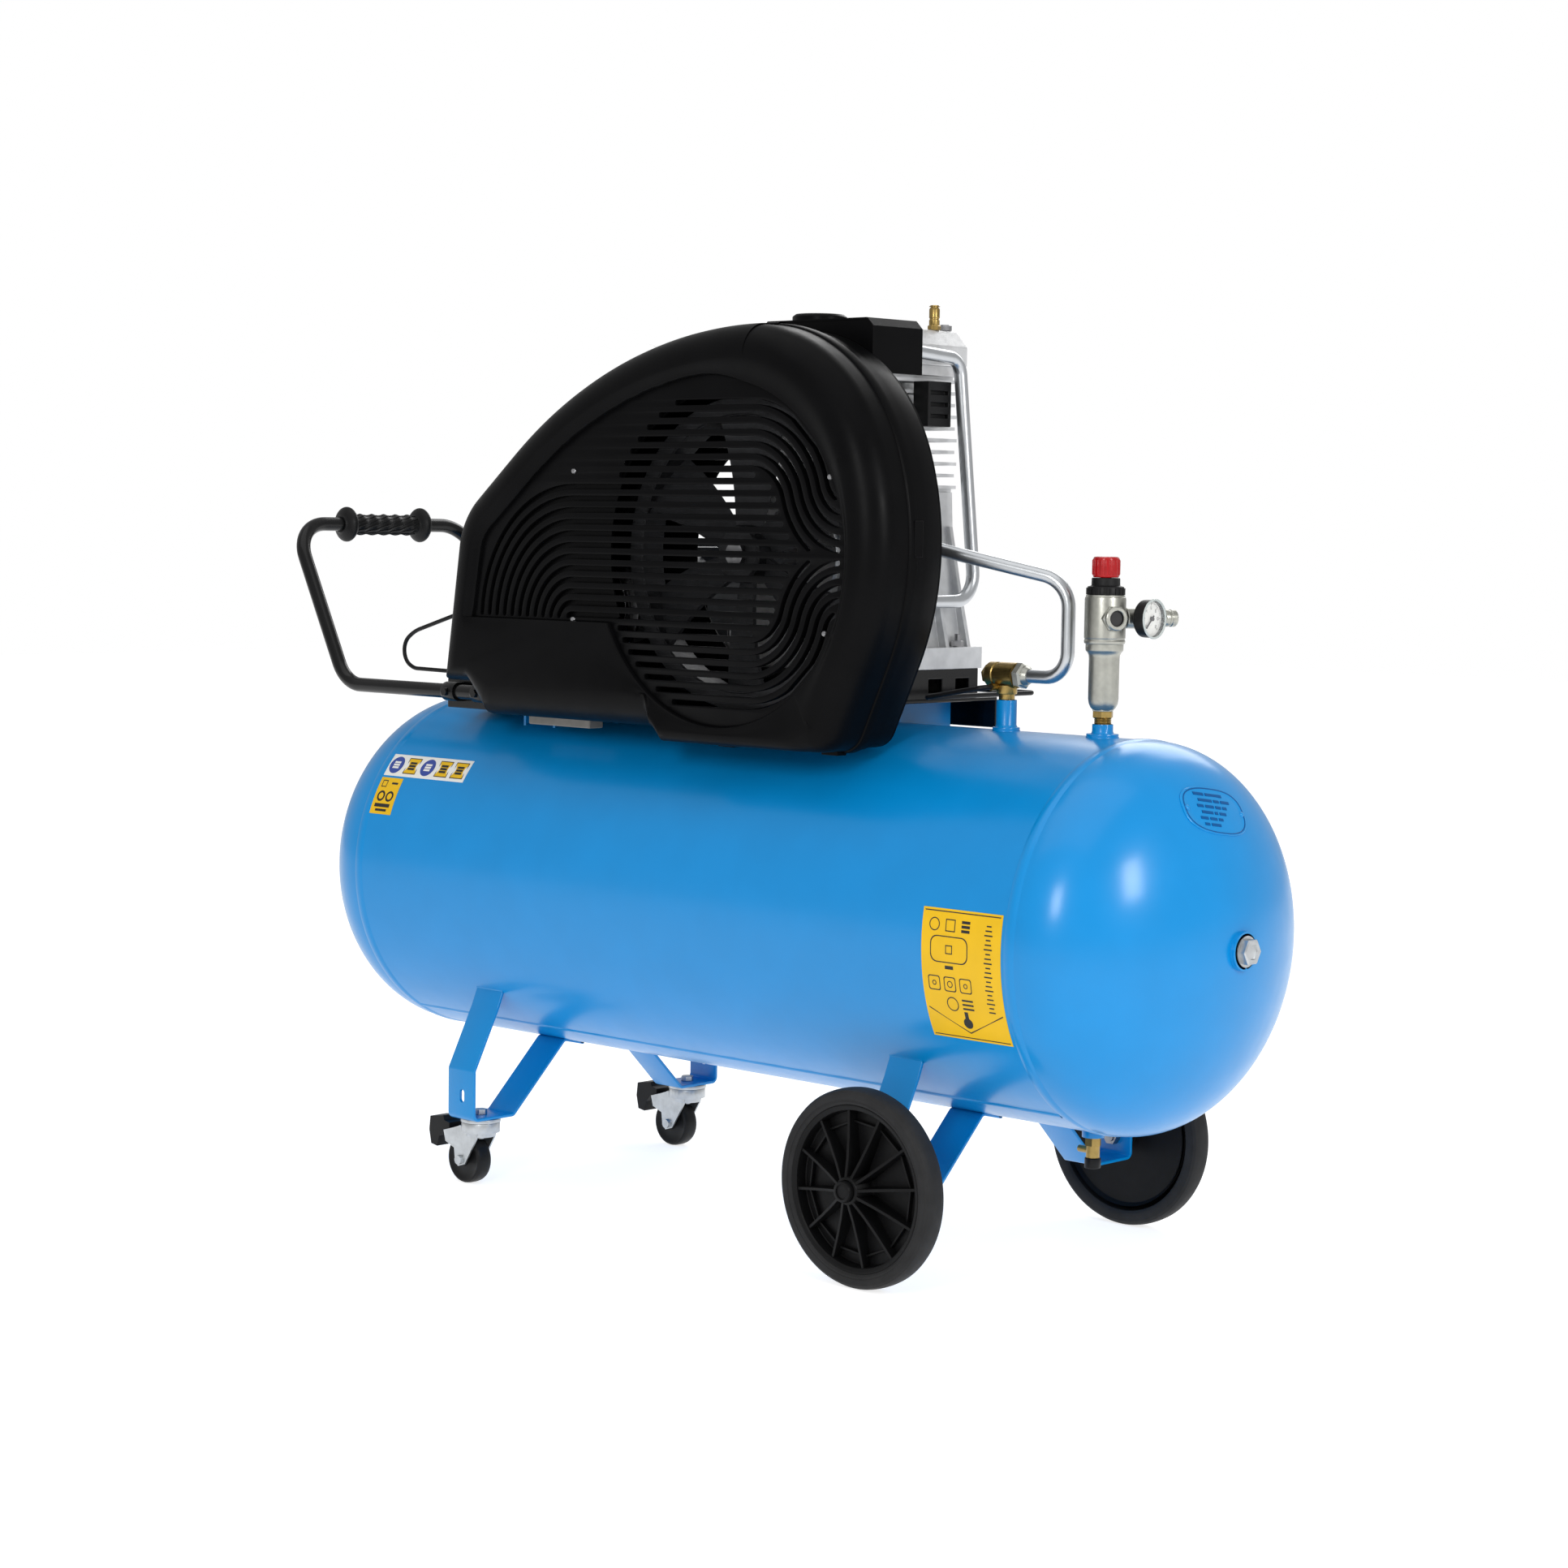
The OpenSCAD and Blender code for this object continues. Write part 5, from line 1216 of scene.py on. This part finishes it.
def gauge():
    case = Build()
    case.lathe([(5.6, 8), (5.6, 15.6), (10.3, 15.6), (15.6, 18.2), (19.6, 20.3), (21.2, 22), (21.5, 25),
                (21.6, 34.4), (22.4, 34.6), (22.4, 35.6), (20.2, 35.6), (20.2, 30)], gauge_frame, 80,
                caps=False)
    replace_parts(case.piece("gauge_case_round", PEDAL, crease=28), "gauge_case")
    lens = Build()
    lens.lathe([(22, 35.5), (22.8, 35.7), (23, 36.2), (22.6, 36.9), (22, 37), (20.8, 37), (20.2, 36.2),
                (20.2, 31)],
               gauge_frame, 80, caps=False)
    lens.piece("gauge_lens_rim", CLEAR_RIM, crease=28)
    dial = Build()
    dial.lathe([(20.4, 30.4), (20.2, 31), (0.05, 31)], gauge_frame, 64, caps=False)
    dial.piece("gauge_dial", WHITE)
    marks = Build()

    def stroke(angle, near, far, half):
        a = math.radians(angle)
        marks.add([gauge_frame(r * math.cos(a) - w * math.sin(a), r * math.sin(a) + w * math.cos(a), 31.15)
                   for r, w in ((near, -half), (far, -half), (far, half), (near, half))], [(0, 1, 2, 3)])
    for i in range(49):
        major = i % 8 == 0
        stroke(225 - i * 270 / 48, 15.4 if major else 16.8, 18.4, 0.32 if major else 0.14)
    for i, text in enumerate(("0", "2", "4", "6", "8", "10", "12")):
        a = math.radians(225 - i * 45)
        for k, letter in enumerate(text):
            across = 12.6 * math.cos(a) + (k - (len(text) - 1) / 2) * 2.5
            up = 12.6 * math.sin(a)
            for segment in DIGITS[letter]:
                x, y, tall = {"a": (0, 1.6, 0), "b": (0.9, 0.8, 1), "c": (0.9, -0.8, 1), "d": (0, -1.6, 0),
                              "e": (-0.9, -0.8, 1), "f": (-0.9, 0.8, 1), "g": (0, 0, 0)}[segment]
                w, h = (0.2, 0.85) if tall else (0.95, 0.2)
                marks.add([gauge_frame(across + x + sx * w, up + y + sy * h, 31.15)
                           for sx, sy in ((-1, -1), (1, -1), (1, 1), (-1, 1))], [(0, 1, 2, 3)])
    marks.piece("gauge_marks", INK_AND_PAINTED_SHADE)
    glass = Build()
    glass.lathe([(20.4, 35.2), (19, 35.8), (12, 36.4), (0.05, 36.6)], gauge_frame, 64, caps=False)
    glass.piece("gauge_glass", GLASS)
    outlet = Build()

    def along(a, b, h):
        return reg(a, h, PORT_Z + b)
    outlet.lathe([(6.4, 20), (6.4, 24), (8.8, 24.4), (9, 25), (9, 62)], along, 40, caps=False)
    outlet.lathe([(11.4, 24.5), (12, 25.5), (12, 41), (11.4, 42)], along, 40)
    outlet.lathe([(12.8, 62), (13.8, 63.4), (13.8, 72.6), (12.8, 74)], along, 6)
    outlet.lathe([(9.6, 74), (10, 75), (10, 80), (9.2, 81), (9.2, 83), (10, 84), (10, 89), (9.4, 90),
                  (6.6, 90), (6, 89),
                  (6, 76), (0.05, 76)], along, 40, caps=False)
    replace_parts(outlet.piece("air_outlet_turned", NICKEL, crease=28), "air_outlet")


# ---------- pump ----------
PUMP_X, HEAD_TOP = 98, 1096


def pump_details():
    """Bolts, studs and the safety valve, each turned and chamfered."""
    bolts = Build()
    for x in (-66, 66):
        for y in (12, 106):
            hexagon(bolts, (PUMP_X + x, y, HEAD_TOP), (0, 0, 1), 8, 13)
    for s in (-1, 1):
        for y in (-78, 4, 82):
            hexagon(bolts, (PUMP_X + s * 115, y, 712), (0, 0, 1), 8, 13)
            bolts.lathe([(7.5, 712), (7.5, 713.4)], about_z(PUMP_X + s * 115, y), 24)
            bolts.lathe([(4, 720), (4, 727.2), (3.4, 728)], about_z(PUMP_X + s * 115, y), 20)
    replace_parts(bolts.piece("pump_bolts_hex", STEEL, crease=25), "pump_bolts")
    valve = Build()
    valve_x, valve_y = 168, 80
    hexagon(valve, (valve_x, valve_y, HEAD_TOP), (0, 0, 1), 6, 14)
    valve.lathe([(6, 1101), (6.5, 1103), (6.5, 1108), (5.8, 1109), (5.8, 1110), (6.5, 1111), (6.5, 1121),
                 (5.6, 1123), (4.6, 1123.4), (4.6, 1124.4), (5.2, 1125), (5.2, 1126)],
                 about_z(valve_x, valve_y), 32)
    valve.tube([pt(valve_x + 6.2 * math.cos(a), valve_y + 6.2 * math.sin(a), 1124.6)
                for a in np.linspace(0, 5.6, 24)], 0.5 * MM, 6)
    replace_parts(valve.piece("safety_valve_turned", BRASS, crease=28), "head_safety_valve")
    check = Build()
    check.lathe([(9, 655), (9.4, 656), (9.4, 664), (11.5, 664), (12, 665), (12, 674)],
                about_z(CHECK_X, 0), 40)
    check.lathe([(14, 335), (15, 336.4), (15, 346), (13.6, 347), (13.6, 350), (15, 351), (15, 376)],
                about_x(0, CHECK_Z), 48)
    hexagon(check, (328, 0, CHECK_Z), (1, 0, 0), 9, 20)
    check.lathe([(4.4, -20), (4.4, -3)], about_y(352, 672), 20)
    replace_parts(check.piece("check_valve_turned", BRASS, crease=28), "check_valve")
    nut = Build()
    hexagon(nut, (376, 0, CHECK_Z), (1, 0, 0), 12, 27)
    nut.lathe([(11.6, 388), (11, 390), (8.8, 394)], about_x(0, CHECK_Z), 32)
    nut.piece("discharge_union_nut", NICKEL, crease=28)


def ease_frame():
    """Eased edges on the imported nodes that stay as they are."""
    widths = {"crankcase": 1.6, "cylinder_block": 0.6, "valve_plate": 0.8, "cylinder_head": 2.0,
              "base_plate": 1.4, "pump_stand": 1.6, "base_pads": 2.0, "air_shroud": 1.0, "handle_clamps": 1.0,
              "fan_cover": 0.8, "terminal_box": 1.6, "pressure_switch": 2.0, "switch_knob": 0.8,
              "air_filter": 1.0, "tank_brackets": 0.8, "caster_plates": 0.6, "caster_fork_front": 0.7,
              "caster_fork_rear": 0.7, "brake_pedal_front": 1.6, "brake_pedal_rear": 1.6,
              "motor_pulley": 0.8, "drain_valve": 0.5, "drain_knob": 0.8}
    for name, width in widths.items():
        soften(frame["nodes"][name], width, weld=True)


make_camera()
make_studio()
make_floor()
dress_frame()
guard_front()
guard_rear()
guard_trim()
flywheel()
receiver()
data_plate()
fittings()
labels()
legs()
for side, name in ((-1, "front"), (1, "rear")):
    wheel(side, name)
    caster_roller(side, name)
axles()
air_tubes()
handle()
regulator()
gauge()
pump_details()
ease_frame()
